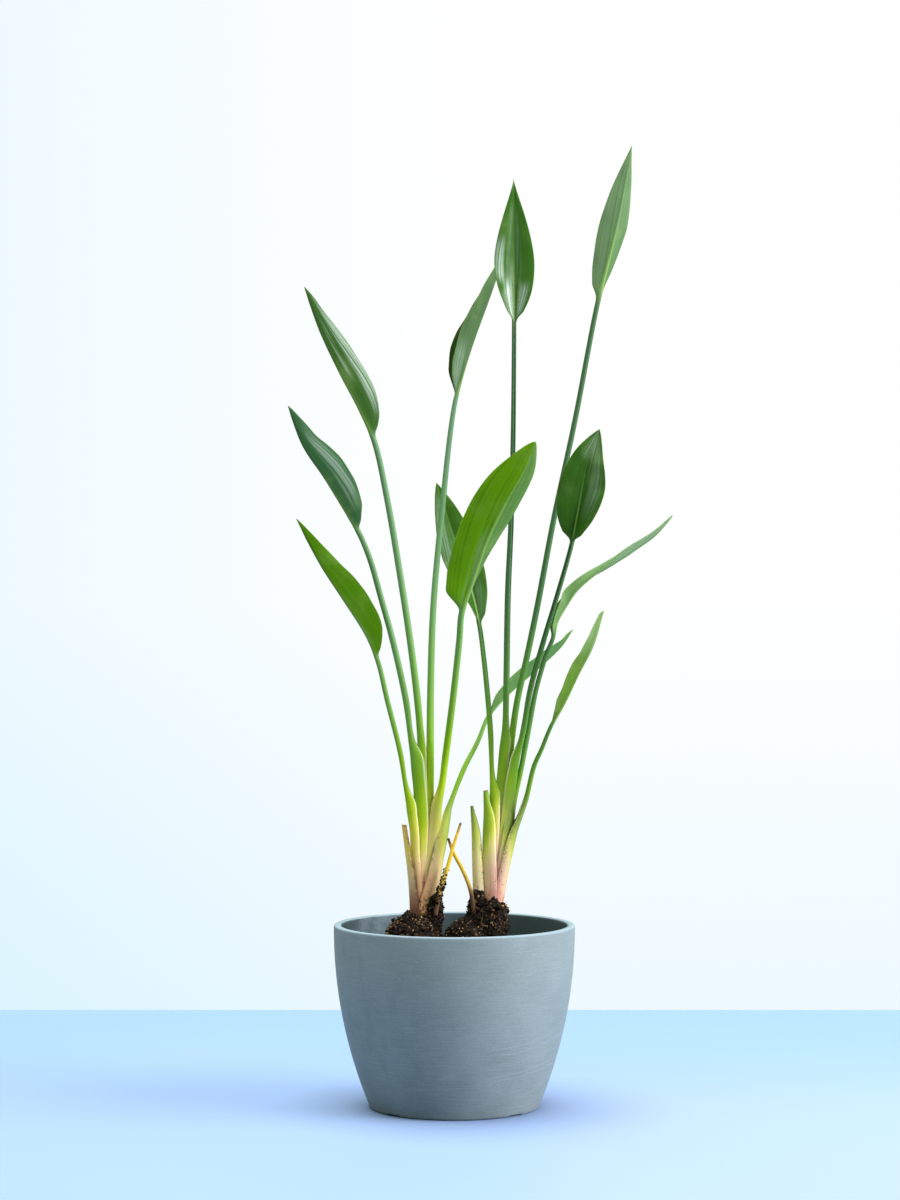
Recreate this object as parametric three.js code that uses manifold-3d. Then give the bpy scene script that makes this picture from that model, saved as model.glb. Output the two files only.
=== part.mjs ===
// Potted bird of paradise: a tapering round pot, lumpy soil and two crowns of nested leaves.
// Millimetres. +Z is up, the front faces -Y, and the origin is the middle of the pot's base.

import * as THREE from 'three';
import { mergeVertices } from 'three/addons/utils/BufferGeometryUtils.js';
import Module from 'manifold-3d';

const kit = await Module();
kit.setup();

// Driving sizes

const POT = {
  height: 151, rim: 100, taper: 30, power: 2.1, wall: 6, floor: 7, foot: 3, lip: 1.6, sides: 44,
};
const DRAIN = { count: 4, hole: 4.8, ring: 36, width: 15, depth: 1.6, start: 20 };
const GAP = 0.3;
const SOIL = { level: 121, edge: 119 };
const CROWN_Z = 158.3;
const CROWNS = { left: [-27, -5], right: [32.5, 3] };
const WALL = 0.7;
const CIRCLE = 12;
// How far round a stalk is closed, in degrees
const STALK_WRAP = 150;
// Thickness of a blade at its foot and tip, its least half width and the height of its waves.
// curl and taper: see the leaves
const BLADE = { foot: 1, tip: 0.75, least: 1, wave: 0.25, curl: 24, taper: 0.85 };
// Rings along each stretch of a leaf
const STEPS = { sheath: 6, stalk: 5, blade: 9 };

// Places across each leaf, from one edge to the other
const ACROSS = [-1, -0.65, -0.25, 0, 0.25, 0.65, 1];
const RING = ACROSS.length * 2;

// Small helpers

const clamp = (x) => Math.min(1, Math.max(0, x));
const mix = (a, b, t) => a + (b - a) * t;
const radians = (degrees) => degrees * Math.PI / 180;

function smooth(from, to, x) {
  const t = clamp((x - from) / (to - from));
  return t * t * (3 - 2 * t);
}

// Value of an evenly keyed list at place t, from 0 at its first key to 1 at its last
function along(list, t) {
  const place = clamp(t) * (list.length - 1);
  const i = Math.min(list.length - 2, Math.floor(place));
  return mix(list[i], list[i + 1], place - i);
}

// Repeatable noise from 0 to 1
function seeded(seed) {
  let state = seed;
  return () => {
    state = (state * 16807) % 2147483647;
    return state / 2147483647;
  };
}

// Closed body from points and triangles
function geometryOf(points, triangles) {
  const geometry = new THREE.BufferGeometry();
  geometry.setAttribute('position', new THREE.BufferAttribute(new Float32Array(points), 3));
  geometry.setIndex(triangles);
  geometry.computeVertexNormals();
  return geometry;
}

function solidOf(geometry) {
  const plain = geometry.clone();
  plain.deleteAttribute('normal');
  plain.deleteAttribute('uv');
  const welded = mergeVertices(plain, 1e-4);
  return new kit.Manifold(new kit.Mesh({
    numProp: 3,
    vertProperties: new Float32Array(welded.attributes.position.array),
    triVerts: new Uint32Array(welded.index.array),
  }));
}

function geometryFrom(solid) {
  const mesh = solid.getMesh();
  return geometryOf(mesh.vertProperties, Array.from(mesh.triVerts));
}

// The largest body of a solid, without loose scraps
function largest(solid) {
  const bodies = solid.decompose();
  return bodies.reduce((best, body) => (body.volume() > best.volume() ? body : best));
}

// Loft through rings of equal length. A strip cap joins facing points of a flat ring, and a
// fan cap joins the points of a round one.
function loft(rings, strip) {
  const size = rings[0].length;
  const last = (rings.length - 1) * size;
  const triangles = [];
  for (let s = 0; s < rings.length - 1; s += 1) {
    for (let i = 0; i < size; i += 1) {
      const next = (i + 1) % size;
      const [a, b] = [s * size + i, s * size + next];
      const [c, d] = [a + size, b + size];
      const falling = strip && Math.abs(sideOf(i)) > Math.abs(sideOf(next));
      if (falling) triangles.push(a, b, d, a, d, c);
      else triangles.push(a, b, c, b, d, c);
    }
  }
  if (strip) {
    for (let k = 0; k < size / 2 - 1; k += 1) {
      const [front, frontNext] = [k, k + 1];
      const [back, backNext] = [size - 1 - k, size - 2 - k];
      triangles.push(front, back, backNext, front, backNext, frontNext);
      triangles.push(last + front, last + backNext, last + back);
      triangles.push(last + front, last + frontNext, last + backNext);
    }
  } else {
    for (let k = 1; k < size - 1; k += 1) {
      triangles.push(0, k + 1, k);
      triangles.push(last, last + k, last + k + 1);
    }
  }
  return geometryOf(rings.flat().flatMap((p) => [p.x, p.y, p.z]), triangles);
}

// Place across the leaf of ring point i: the back goes from -1 to 1, the face from 1 to -1
function sideOf(i) {
  return i < RING / 2 ? ACROSS[i] : ACROSS[RING - 1 - i];
}

// Leaves
//
// sheath: [x, y, z, half depth, half width] from the crown's foot to where the sheath closes
// stalk: [x, y, z] up to the blade's foot
// blade: [x, y, z] along the midrib to the tip
// open: the way the sheath opens. face: the way the blade's upper face looks, foot to tip
// wide: half width of the blade. widest: where it is widest, from 0 at its foot to 1 at its tip
// slim: how slowly the blade widens from its foot. taper: how slowly it narrows to its tip
// fold: how far each half bends up from flat, in degrees, foot to tip
// curl: how much less a half is bent at its margin than at the midrib, in degrees
// skew: the right half's width beside the left's, foot to tip
// rings: rings along the blade. A leaf without a taper, curl, skew or rings has the common ones

const LEAVES = [
  {
    name: 'leaf_left_1', crown: 'left', nest: 1, round: [3.3, 2.4], wrap: 112,
    sheath: [[-27, -5, 190, 4.4, 4], [-25.6, -5, 215, 4.8, 4], [-24.8, -5, 240, 5.2, 4],
      [-24.4, -5, 262, 5.6, 4], [-25.6, -5, 288, 5.2, 3.8], [-27.6, -5, 307, 3.3, 3.3]],
    stalk: [[-30.3, -5, 337], [-36.6, -4, 387], [-45.6, -2, 445], [-55.6, 0, 503], [-66.5, 3, 552]],
    blade: [[-77.7, 7, 577], [-95.3, 12, 610], [-112, 18, 645], [-125.5, 25, 682.4]],
    open: [1, 0, 0], face: [[0.8, 0.35, 0.4], [0.6, 0.68, 0.4], [0.55, 0.72, 0.42]],
    wide: 20.5, widest: 0.43, slim: 1.15, fold: [66, 46, 42], curl: -24,
  },
  {
    name: 'leaf_left_2', crown: 'left', nest: 3, round: [3, 2.2], wrap: 110,
    sheath: [[-27, -5, 190, 7, 6.8], [-25.5, -5, 212, 8.5, 6.9], [-24.6, -5, 234, 9.6, 6.8],
      [-25.4, -5, 258, 8.3, 6], [-28.4, -5.4, 284, 7.8, 4.8], [-35, -6, 303, 3.1, 3.1]],
    stalk: [[-39.9, -7, 337], [-51, -8, 387], [-60.7, -8, 422], [-69.9, -9, 454], [-79.1, -9, 476]],
    blade: [[-88.8, -9, 492], [-107.3, -10, 521.5], [-125.1, -10, 548], [-137.3, -10, 580.4]],
    open: [1, 0, 0], face: [[0.8, 0.35, 0.45], [0.6, 0.66, 0.48], [0.55, 0.7, 0.5]],
    wide: 21, widest: 0.47, slim: 1.15, fold: [66, 46, 42], curl: -24,
  },
  {
    name: 'leaf_left_3', crown: 'left', nest: 4, round: [2.4, 2], wrap: 108,
    sheath: [[-28.5, -5, 187, 7, 8], [-30.3, -5, 210, 6, 8], [-31, -5.2, 228, 5.9, 7.6],
      [-33.8, -5.8, 248, 6, 5], [-39.3, -7, 263, 2.5, 2.5]],
    stalk: [[-44.4, -10, 293], [-55.5, -14, 338], [-63.3, -18, 370.5]],
    blade: [[-71.8, -23, 390.5], [-90.5, -30, 420], [-108.6, -38, 448], [-128.6, -45, 486.2]],
    open: [1, 0, 0], face: [[0.8, 0.35, 0.45], [0.55, 0.68, 0.5], [0.5, 0.7, 0.5]],
    wide: 18.8, widest: 0.45, slim: 1.15, fold: [66, 50, 44], curl: -12,
  },
  {
    name: 'leaf_left_4', crown: 'left', nest: 0, round: [3.3, 2.1], wrap: 100,
    sheath: [[-26.5, -5, 190, 3.2, 2.9], [-24, -5, 215, 3.6, 2.9], [-22, -5, 240, 4, 3],
      [-20.8, -5, 262, 3.8, 3.1], [-20.3, -4.6, 290, 3.5, 3.2], [-20.2, -4, 308, 3.3, 3.3]],
    stalk: [[-19.9, 0, 345], [-17.6, 7, 415], [-9, 16, 509], [-3.2, 22, 562], [1, 25, 588.5]],
    blade: [[7.3, 28, 611.5], [17, 33, 641], [29.3, 38, 674], [44.6, 44, 718.2]],
    open: [-1, 0, 0],
    face: [[-0.95, 0, 0.25], [-0.92, -0.26, 0.28], [-0.94, -0.1, 0.28], [-0.94, 0.05, 0.28]],
    wide: 17.6, widest: 0.43, slim: 1.6, fold: [85, 74, 72, 66],
  },
  {
    name: 'leaf_left_5', crown: 'left', nest: 2, round: [3, 2.5], wrap: 112,
    sheath: [[-25, -5.5, 190, 6, 5.6], [-20.5, -6, 212, 6.5, 5.7], [-17, -7, 234, 6.6, 5.2],
      [-14.8, -8.5, 250, 5.4, 4], [-10.6, -11, 266, 3, 3]],
    stalk: [[-6.9, -15, 294], [-1.3, -30, 338], [4, -46, 387], [6, -56, 410]],
    blade: [[14.5, -62, 434.5], [25.6, -71, 467], [40.6, -80, 498], [55.7, -86, 524.2],
      [64.8, -90, 546.7]],
    open: [-0.7, 0.7, 0], face: [[-0.55, 0.8, 0.2], [-0.25, 0.95, 0.2], [-0.15, 0.97, 0.2]],
    wide: 25.3, widest: 0.5, slim: 0.28, taper: 0.72, fold: [20, 12, 8], curl: -24,
    skew: [0.15, 0.15, 0.45, 0.58, 0.6, 0.6],
  },
  {
    name: 'leaf_left_6', crown: 'left', nest: 5, round: [2.4, 1.8], wrap: 112,
    sheath: [[-20.5, -5, 187, 8.6, 9.2], [-15.9, -5, 207, 7.3, 8.8], [-11.6, -4.5, 226, 6.6, 7.6],
      [-8.2, -3, 237, 4.8, 5], [-3.8, 0, 250, 2.5, 2.5]],
    stalk: [[7.7, 9, 279], [19.3, 21, 301], [29.3, 31, 323.5]],
    blade: [[42.4, 37, 338.2], [60.2, 45, 353.5], [76.5, 51, 367], [91.2, 56, 381], [101, 60, 395.1]],
    open: [-1, 0, 0], face: [[-0.66, 0.2, 0.7], [-0.62, 0.32, 0.7], [-0.6, 0.3, 0.7]],
    wide: 12.4, widest: 0.45, slim: 0.8, fold: [65, 45, 45],
  },
  {
    name: 'leaf_right_1', crown: 'right', nest: 3, round: [2.5, 2], wrap: 108,
    sheath: [[33.4, 3, 190, 6.4, 6.8], [34.4, 3, 215, 6.8, 7], [35.6, 3, 240, 6.9, 6.4],
      [35.4, 3, 256, 6.4, 5.2], [32, 4, 272, 2.6, 2.6]],
    stalk: [[30.3, 8, 309], [28.2, 15, 336], [24.9, 26, 370], [21.5, 38, 397]],
    blade: [[15.9, 48, 424], [5.7, 57, 456], [-4.5, 66, 487], [-15.2, 75, 520.2]],
    open: [1, 0, 0], face: [[0.6, -0.7, 0.3], [0.2, -0.95, 0.2], [0.2, -0.95, 0.2]],
    wide: 17, widest: 0.5, slim: 0.8, fold: [50, 22, 20],
  },
  {
    name: 'leaf_right_2', crown: 'right', nest: 1, round: [3, 1.9], wrap: 112,
    sheath: [[34, 3, 190, 4.6, 4], [36, 3, 220, 5.6, 4], [39.4, 3, 250, 6.2, 4],
      [42.3, 3, 275, 6.8, 4], [43.4, 3, 297, 6, 3.9], [42.9, 3, 316, 3.1, 3.1]],
    stalk: [[43.4, 3, 350], [44.6, 3, 427], [47.1, 4, 483], [49, 4, 561], [49.7, 4, 647.5]],
    blade: [[49.8, 4, 676], [49.7, 4, 706], [49.6, 4, 738], [49.4, 5, 770]],
    open: [1, 0, 0], face: [[0.3, -0.9, 0], [0, -1, 0.1], [0, -1, 0.1]],
    wide: 17.4, widest: 0.42, slim: 1, taper: 1.15, fold: [50, 24, 28],
  },
  {
    name: 'leaf_right_3', crown: 'right', nest: 0, round: [2.9, 2.1], wrap: 100,
    sheath: [[34.5, 3, 190, 3.2, 2.9], [38, 3, 225, 3.6, 3], [42.2, 3, 262, 3.6, 3],
      [45.6, 3.2, 290, 3.2, 3], [49.4, 3.5, 319, 2.9, 2.9]],
    stalk: [[52.3, 4, 337], [60, 6, 371], [69.2, 8, 415], [83.1, 12, 488], [100.8, 16, 570],
      [119.8, 20, 668]],
    blade: [[128.7, 22, 702.6], [136.4, 24, 734.3], [143.1, 27, 768.2], [149.1, 30, 801.6]],
    open: [-1, 0, 0], face: [[-0.45, 0.88, 0], [-0.2, 0.98, -0.05], [-0.2, 0.98, -0.05]],
    wide: 15.3, widest: 0.45, slim: 0.6, taper: 1, fold: [45, 16, 14], curl: -18,
    skew: [0.75, 0.68],
  },
  {
    name: 'leaf_right_4', crown: 'right', nest: 2, round: [2.6, 1.9], wrap: 110,
    sheath: [[34.6, 3, 190, 5.6, 5.6], [38.5, 2.5, 220, 6.4, 5.6], [42.4, 1.5, 250, 7, 5.2],
      [45.2, 0.5, 272, 7, 4.6], [48.2, -0.5, 285, 5.6, 4], [54.2, -2, 300, 2.8, 2.8]],
    stalk: [[57.8, -4, 316], [62.8, -9, 346], [74, -18, 388], [81.9, -24, 415], [96, -32, 465.5]],
    blade: [[100.3, -35, 488], [104.7, -37, 512.5], [109.6, -38, 536], [118.6, -38, 559.6]],
    open: [-1, 0, 0], face: [[-0.4, -0.85, 0.2], [-0.08, -0.98, 0.15], [-0.08, -0.98, 0.15]],
    wide: 19.8, widest: 0.45, slim: 0.75, fold: [50, 26, 26],
  },
  {
    name: 'leaf_right_5', crown: 'right', nest: 4, round: [2.5, 1.8], wrap: 108,
    sheath: [[35, 3, 190, 6.8, 8], [39.5, 3, 212, 6.4, 8], [43.3, 3, 234, 6.3, 7],
      [46, 3.2, 247, 5.2, 5], [50.8, 3.5, 260, 2.6, 2.6]],
    stalk: [[54.6, 4, 276], [62.4, 6, 316], [68.2, 7, 346], [76.8, 8, 375], [81.9, 9, 387.5]],
    blade: [[85.4, 10, 402], [93.6, 11, 416], [103, 12, 429], [124.9, 14, 447.8], [143.7, 17, 462.6],
      [166.6, 19, 477], [182.7, 20, 491]],
    open: [-1, 0, 0],
    face: [[-0.86, -0.42, 0.28], [-0.86, -0.3, 0.4], [-0.8, -0.1, 0.6], [-0.4, 0.7, 0.6],
      [0, 1, 0], [0.35, 0.8, -0.45], [0.4, 0.75, -0.5], [0.4, 0.75, -0.5]],
    wide: 8.2, widest: 0.4, slim: 0.7, taper: 0.6, fold: [74, 76, 80, 84, 86, 80, 74, 70],
    rings: 15,
  },
  {
    name: 'leaf_right_6', crown: 'right', nest: 5, round: [2.3, 1.7], wrap: 108,
    sheath: [[37.8, 2.5, 191, 6.8, 9], [43, 1.5, 213, 6.2, 8.2], [47.9, 0, 229, 5, 5.4],
      [54, -2.5, 242, 3.2, 3.2], [59, -5, 254.5, 2.3, 2.3]],
    stalk: [[65.8, -12, 283], [71.8, -16, 297], [80, -22, 317.5]],
    blade: [[89.6, -27, 334.5], [101.7, -31, 359.5], [113.6, -36, 383], [121.9, -40, 411.2]],
    open: [-1, 0, 0], face: [[-0.88, 0.1, 0.4], [-0.85, 0.22, 0.42], [-0.85, 0.2, 0.42]],
    wide: 9.8, widest: 0.55, slim: 0.65, taper: 0.45, fold: [80, 66, 60],
  },
];

// Stubs are sheaths alone, cut off or dried to a point. closes: the key where one turns solid.
const STUBS = [
  {
    name: 'old_sheath_left', wrap: 50, wall: 1.2, open: [0.87, 0.5, 0],
    sheath: [[-27, -5, 158.3, 9.9, 9.9], [-27.8, -5.3, 175, 9.6, 9.6], [-31, -6, 195, 8, 7.6],
      [-35, -7, 215, 6.4, 6], [-38.8, -8.5, 235, 4.8, 4.8]],
  },
  {
    name: 'cut_leaf_right', wrap: 92, wall: 1, open: [1, 0.25, 0], closes: 5,
    sheath: [[32.5, 3, 158.3, 9.8, 9.8], [32.6, 2.8, 185, 9, 9.6], [32, 1.6, 215, 8.8, 8.6],
      [31.4, 0.5, 240, 7.4, 6.8], [27.6, 0, 255, 3.6, 3.2], [25.9, 0, 262, 1.9, 1.9]],
  },
  {
    name: 'old_sheath_right', wrap: 62, wall: 0.9, open: [0.3, 0.95, 0],
    sheath: [[21.3, 1, 159, 6, 6], [21, 1, 180, 5.8, 5.8], [19.8, 0, 205, 5.2, 5.2],
      [18.4, -1, 228, 4.2, 4.2], [14.6, -2, 249.5, 1.4, 1.4]],
  },
  {
    name: 'dry_sheath_left', wrap: 60, wall: 0.8, open: [-0.4, 0.9, 0],
    sheath: [[-16, -16, 160, 2.2, 2.2], [-12, -16.5, 180, 2.2, 2.2], [-6, -17.5, 200, 2.1, 2.1],
      [-1.6, -18, 216, 1.8, 1.8], [5, -18, 236.5, 1.2, 1.2]],
  },
  {
    name: 'dry_sheath_right', wrap: 60, wall: 0.8, open: [0.4, 0.9, 0],
    sheath: [[17, -9, 160, 2.2, 2.2], [13.5, -8.5, 181, 2.2, 2.2], [7.6, -8, 196, 2, 2],
      [-0.4, -7.5, 211, 1.8, 1.8], [-4.9, -7, 223, 1.3, 1.3]],
  },
];

const NEST = { first: 2.9, step: 1.15 };

// One smooth line through [x, y, z] points
function lineOf(points) {
  const places = points.map(([x, y, z]) => new THREE.Vector3(x, y, z));
  return new THREE.CatmullRomCurve3(places, false, 'centripetal');
}

// Places on a line from key a to key b, in steps of equal length
function evenPlaces(line, keys, a, b, steps) {
  const fine = 60;
  const places = Array.from({ length: fine + 1 }, (_, i) => mix(a, b, i / fine) / keys);
  const points = places.map((t) => line.getPoint(t));
  const lengths = [0];
  for (let i = 1; i <= fine; i += 1) {
    lengths.push(lengths[i - 1] + points[i].distanceTo(points[i - 1]));
  }
  const result = [];
  for (let k = 0; k <= steps; k += 1) {
    const target = lengths[fine] * k / steps;
    const i = Math.max(1, lengths.findIndex((x) => x >= target - 1e-9));
    const part = (target - lengths[i - 1]) / (lengths[i] - lengths[i - 1]);
    result.push(mix(places[i - 1], places[i], part));
  }
  return result;
}

// Ring point i of the sheath or stalk, evenly spread round it: [side, forward]
function tubePoint(i, s) {
  const inside = i >= RING / 2;
  const u = (inside ? RING * 0.75 - i - 0.5 : i - RING / 4 + 0.5) / (RING / 4 - 0.5);
  const angle = u * s.wrap;
  if (!inside) return [s.wide * Math.sin(angle), -s.deep * Math.cos(angle)];
  const hollow = [(s.wide - s.wall) * Math.sin(angle), (s.wall - s.deep) * Math.cos(angle)];
  const lip = -s.deep * Math.cos(s.wrap);
  const groove = [u * 0.6 * s.wide * Math.sin(s.wrap), lip - 0.4 * s.deep * (1 - u * u)];
  return [mix(hollow[0], groove[0], s.filled), mix(hollow[1], groove[1], s.filled)];
}

// Ring point i of the blade: [side, forward]
function bladePoint(i, s) {
  const inside = i >= RING / 2;
  const u = sideOf(i);
  const reach = Math.abs(u) * s.half * (u > 0 ? s.skew : 1);
  const middle = s.fold - s.curl * Math.abs(u) / 2;
  const slope = s.fold - s.curl * Math.abs(u);
  const hand = Math.sign(u);
  const normal = u === 0 ? [0, 1] : [-hand * Math.sin(slope), Math.cos(slope)];
  const rib = u === 0 ? s.rib : 0;
  const out = inside ? s.thick / 2 : -s.thick / 2 - rib;
  const wave = s.wave * u * u;
  return [
    hand * reach * Math.cos(middle) + normal[0] * out,
    reach * Math.sin(middle) + normal[1] * out + wave,
  ];
}

// Frame across a line: the side and forward directions at place t
function frameAt(line, t, face) {
  const tangent = line.getTangent(t);
  const forward = face.clone().addScaledVector(tangent, -face.dot(tangent)).normalize();
  const side = forward.clone().cross(tangent).normalize();
  return { origin: line.getPoint(t), side, forward };
}

function placed(frame, [across, forward]) {
  const point = frame.origin.clone();
  return point.addScaledVector(frame.side, across).addScaledVector(frame.forward, forward);
}

// Outline of the blade: 0 at its foot and tip, 1 where it is widest
function outline(t, leaf) {
  const power = Math.log(0.5) / Math.log(leaf.widest);
  const swell = Math.sin(Math.PI * Math.pow(clamp(t), power));
  return Math.pow(Math.max(0, swell), t < leaf.widest ? leaf.slim : leaf.taper ?? BLADE.taper);
}

// The sheath from its round, upright foot
function sheathOf(leaf) {
  const [x, y] = CROWNS[leaf.crown];
  const radius = NEST.first + NEST.step * leaf.nest;
  return [[x, y, CROWN_Z, radius, radius], [x, y, CROWN_Z + 9, radius, radius], ...leaf.sheath];
}

function routeOf(leaf) {
  const sheath = sheathOf(leaf);
  const points = [...sheath, ...leaf.stalk, ...leaf.blade];
  return {
    line: lineOf(points),
    keys: points.length - 1,
    closed: sheath.length - 1,
    bladeFoot: sheath.length + leaf.stalk.length - 1,
    deep: sheath.map((p) => p[3]),
    wide: sheath.map((p) => p[4]),
  };
}

// The way a leaf faces at key k: open on the sheath, then turning to the blade's face
function faceAt(leaf, route, k) {
  const open = new THREE.Vector3(...leaf.open);
  const faces = leaf.face.map((f) => new THREE.Vector3(...f));
  const turn = smooth(route.closed, route.bladeFoot, k);
  const face = open.lerp(faces[0], turn);
  const t = clamp((k - route.bladeFoot) / (route.keys - route.bladeFoot)) * (faces.length - 1);
  const i = Math.min(faces.length - 2, Math.floor(t));
  return t > 0 ? faces[i].clone().lerp(faces[i + 1], t - i) : face;
}

// Sizes of the leaf's section at key k
function sectionAt(leaf, route, k) {
  const { closed, bladeFoot, keys } = route;
  const onBlade = clamp((k - bladeFoot) / (keys - bladeFoot));
  const onStalk = clamp((k - closed) / (bladeFoot - closed));
  const filled = leaf.nest === 0 ? 1 : smooth(closed - 1.4, closed, k);
  const stalk = mix(route.deep[closed], leaf.round[1], onStalk);
  const edge = outline(onBlade, leaf);
  const waves = Math.sin(onBlade * 17 + leaf.nest * 2) + Math.sin(onBlade * 8 + leaf.nest);
  return {
    deep: k < closed ? along(route.deep, k / closed) : stalk,
    wide: k < closed ? along(route.wide, k / closed) : stalk,
    filled,
    wall: WALL,
    wrap: radians(mix(leaf.wrap, STALK_WRAP, filled)),
    opened: smooth(0, 0.1, onBlade),
    half: Math.max(BLADE.least, leaf.wide * edge),
    skew: along(leaf.skew ?? [1, 1], onBlade),
    fold: radians(along(leaf.fold, onBlade)),
    curl: radians(leaf.curl ?? BLADE.curl),
    rib: mix(leaf.round[1] * 0.9, 0.1, Math.sqrt(onBlade)),
    thick: mix(BLADE.foot, BLADE.tip, onBlade),
    wave: waves * edge * BLADE.wave,
  };
}

function leafGeometry(leaf) {
  const route = routeOf(leaf);
  const places = [
    ...evenPlaces(route.line, route.keys, 0, route.closed, STEPS.sheath),
    ...evenPlaces(route.line, route.keys, route.closed, route.bladeFoot, STEPS.stalk).slice(1),
    ...evenPlaces(route.line, route.keys, route.bladeFoot, route.keys, leaf.rings ?? STEPS.blade).slice(1),
  ];
  const rings = places.map((t) => {
    const key = t * route.keys;
    const frame = frameAt(route.line, t, faceAt(leaf, route, key));
    const section = sectionAt(leaf, route, key);
    return Array.from({ length: RING }, (_, i) => {
      const tube = tubePoint(i, section);
      const blade = bladePoint(i, section);
      const point = [mix(tube[0], blade[0], section.opened), mix(tube[1], blade[1], section.opened)];
      return placed(frame, point);
    });
  });
  return loft(rings, true);
}

function stubGeometry(stub) {
  const line = lineOf(stub.sheath);
  const keys = stub.sheath.length - 1;
  const open = new THREE.Vector3(...stub.open);
  const rings = evenPlaces(line, keys, 0, keys, STEPS.sheath).map((t) => {
    const [deep, wide] = [3, 4].map((part) => along(stub.sheath.map((p) => p[part]), t));
    const filled = stub.closes ? smooth(stub.closes - 1.4, stub.closes, t * keys) : 0;
    const wrap = radians(mix(stub.wrap, STALK_WRAP, filled));
    const section = { deep, wide, wrap, filled, wall: Math.min(stub.wall, deep * 0.7) };
    const frame = frameAt(line, t, open);
    return Array.from({ length: RING }, (_, i) => placed(frame, tubePoint(i, section)));
  });
  return loft(rings, true);
}

// Point a distance beyond an end of a line, away from its neighbour
function beyond(end, neighbour, distance) {
  const [a, b] = [new THREE.Vector3(...end), new THREE.Vector3(...neighbour)];
  return a.addScaledVector(b.sub(a).normalize(), -distance).toArray();
}

// Solid rod through [x, y, z, half depth, half width] points, a gap larger all round. The depth
// lies along face.
function rod(path, { gap = 0, steps = 8, sides = CIRCLE, face = [1, 0.02, 0] }) {
  const keys = path.length - 1;
  const points = path.map((p) => p.slice(0, 3));
  const first = beyond(points[0], points[1], gap);
  const last = beyond(points[keys], points[keys - 1], gap);
  const line = lineOf([first, ...points.slice(1, keys), last]);
  const corner = 1 / Math.cos(Math.PI / sides);
  const rings = evenPlaces(line, keys, 0, keys, steps).map((t) => {
    const frame = frameAt(line, t, new THREE.Vector3(...face));
    const [deep, wide] = [3, 4].map((part) => (along(path.map((p) => p[part]), t) + gap) * corner);
    return Array.from({ length: sides }, (_, i) => {
      const angle = 2 * Math.PI * i / sides;
      return placed(frame, [wide * Math.cos(angle), deep * Math.sin(angle)]);
    });
  });
  return solidOf(loft(rings, false));
}

// Room that a sheath takes, for the sheaths outside it and for the soil
function roomAlong(path, face) {
  const [x, y, z, deep, wide] = path[0];
  return rod([[x, y, z - 2 * GAP, deep, wide], ...path], { gap: GAP, face });
}

function room(leaf) {
  const above = [...leaf.stalk[0], leaf.round[0], leaf.round[0]];
  return roomAlong([...sheathOf(leaf), above], leaf.open);
}

// Pot

function potRadius(z) {
  return POT.rim - POT.taper * Math.pow((POT.height - z) / POT.height, POT.power);
}

function lathe(profile, sides) {
  return solidOf(latheGeometry(profile, sides));
}

// Turned body: the profile runs from the axis round the outside back to the axis
function latheGeometry(profile, sides) {
  const turned = new THREE.LatheGeometry(profile.map(([r, z]) => new THREE.Vector2(r, z)), sides);
  turned.rotateX(Math.PI / 2);
  turned.deleteAttribute('normal');
  turned.deleteAttribute('uv');
  return mergeVertices(turned, 1e-3);
}

// Heights shared by the pot's walls and the soil's side
const LEVELS = [10, 32, 60, 90, SOIL.edge];

function potSolid() {
  const { height, rim, wall, floor, foot, lip } = POT;
  const outside = [foot, ...LEVELS, height - lip].map((z) => [potRadius(z), z]);
  const inside = [height - lip / 2, ...[...LEVELS].reverse()].map((z) => [potRadius(z) - wall, z]);
  const profile = [
    [0, 0], [potRadius(0) - foot, 0], [potRadius(0) - foot * 0.3, foot / 3], ...outside,
    [rim - lip, height], [rim - wall + lip / 2, height], ...inside,
    [potRadius(floor) - wall - foot, floor], [0, floor],
  ];
  let pot = lathe(profile, POT.sides);
  for (let i = 0; i < DRAIN.count; i += 1) {
    const turn = Math.PI * (0.25 + 2 * i / DRAIN.count);
    const length = POT.rim - DRAIN.start;
    const channel = new THREE.BoxGeometry(length, DRAIN.width, DRAIN.depth * 2);
    channel.translate(DRAIN.start + length / 2, 0, 0).rotateZ(turn);
    const hole = new THREE.CylinderGeometry(DRAIN.hole, DRAIN.hole, 40, 12);
    hole.rotateX(Math.PI / 2).translate(DRAIN.ring, 0, 0).rotateZ(turn);
    pot = pot.subtract(solidOf(channel)).subtract(solidOf(hole));
  }
  return pot;
}

// Soil

// Waviness of the soil at a point, from -1 to 1
function crumbs(x, y, z) {
  const coarse = Math.sin(x * 0.23 + 1.3) * Math.sin(y * 0.21 + 0.4) * Math.cos(z * 0.19);
  const fine = Math.sin(x * 0.71 + z * 0.5) * Math.sin(y * 0.67 - z * 0.4 + 2);
  return 0.6 * coarse + 0.4 * fine;
}

// Heap of soil: an egg with a rough surface
function heap([x, y, z, wide, deep, high]) {
  const egg = new THREE.SphereGeometry(1, 14, 9);
  egg.rotateX(Math.PI / 2);
  egg.deleteAttribute('normal');
  egg.deleteAttribute('uv');
  const welded = mergeVertices(egg, 1e-3);
  const place = welded.attributes.position;
  for (let i = 0; i < place.count; i += 1) {
    const p = [place.getX(i) * wide + x, place.getY(i) * deep + y, place.getZ(i) * high + z];
    const swell = 1 + 0.09 * crumbs(p[0] * 1.6, p[1] * 1.6, p[2] * 1.6);
    place.setXYZ(i, (p[0] - x) * swell + x, (p[1] - y) * swell + y, (p[2] - z) * swell + z);
  }
  return solidOf(welded);
}

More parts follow.
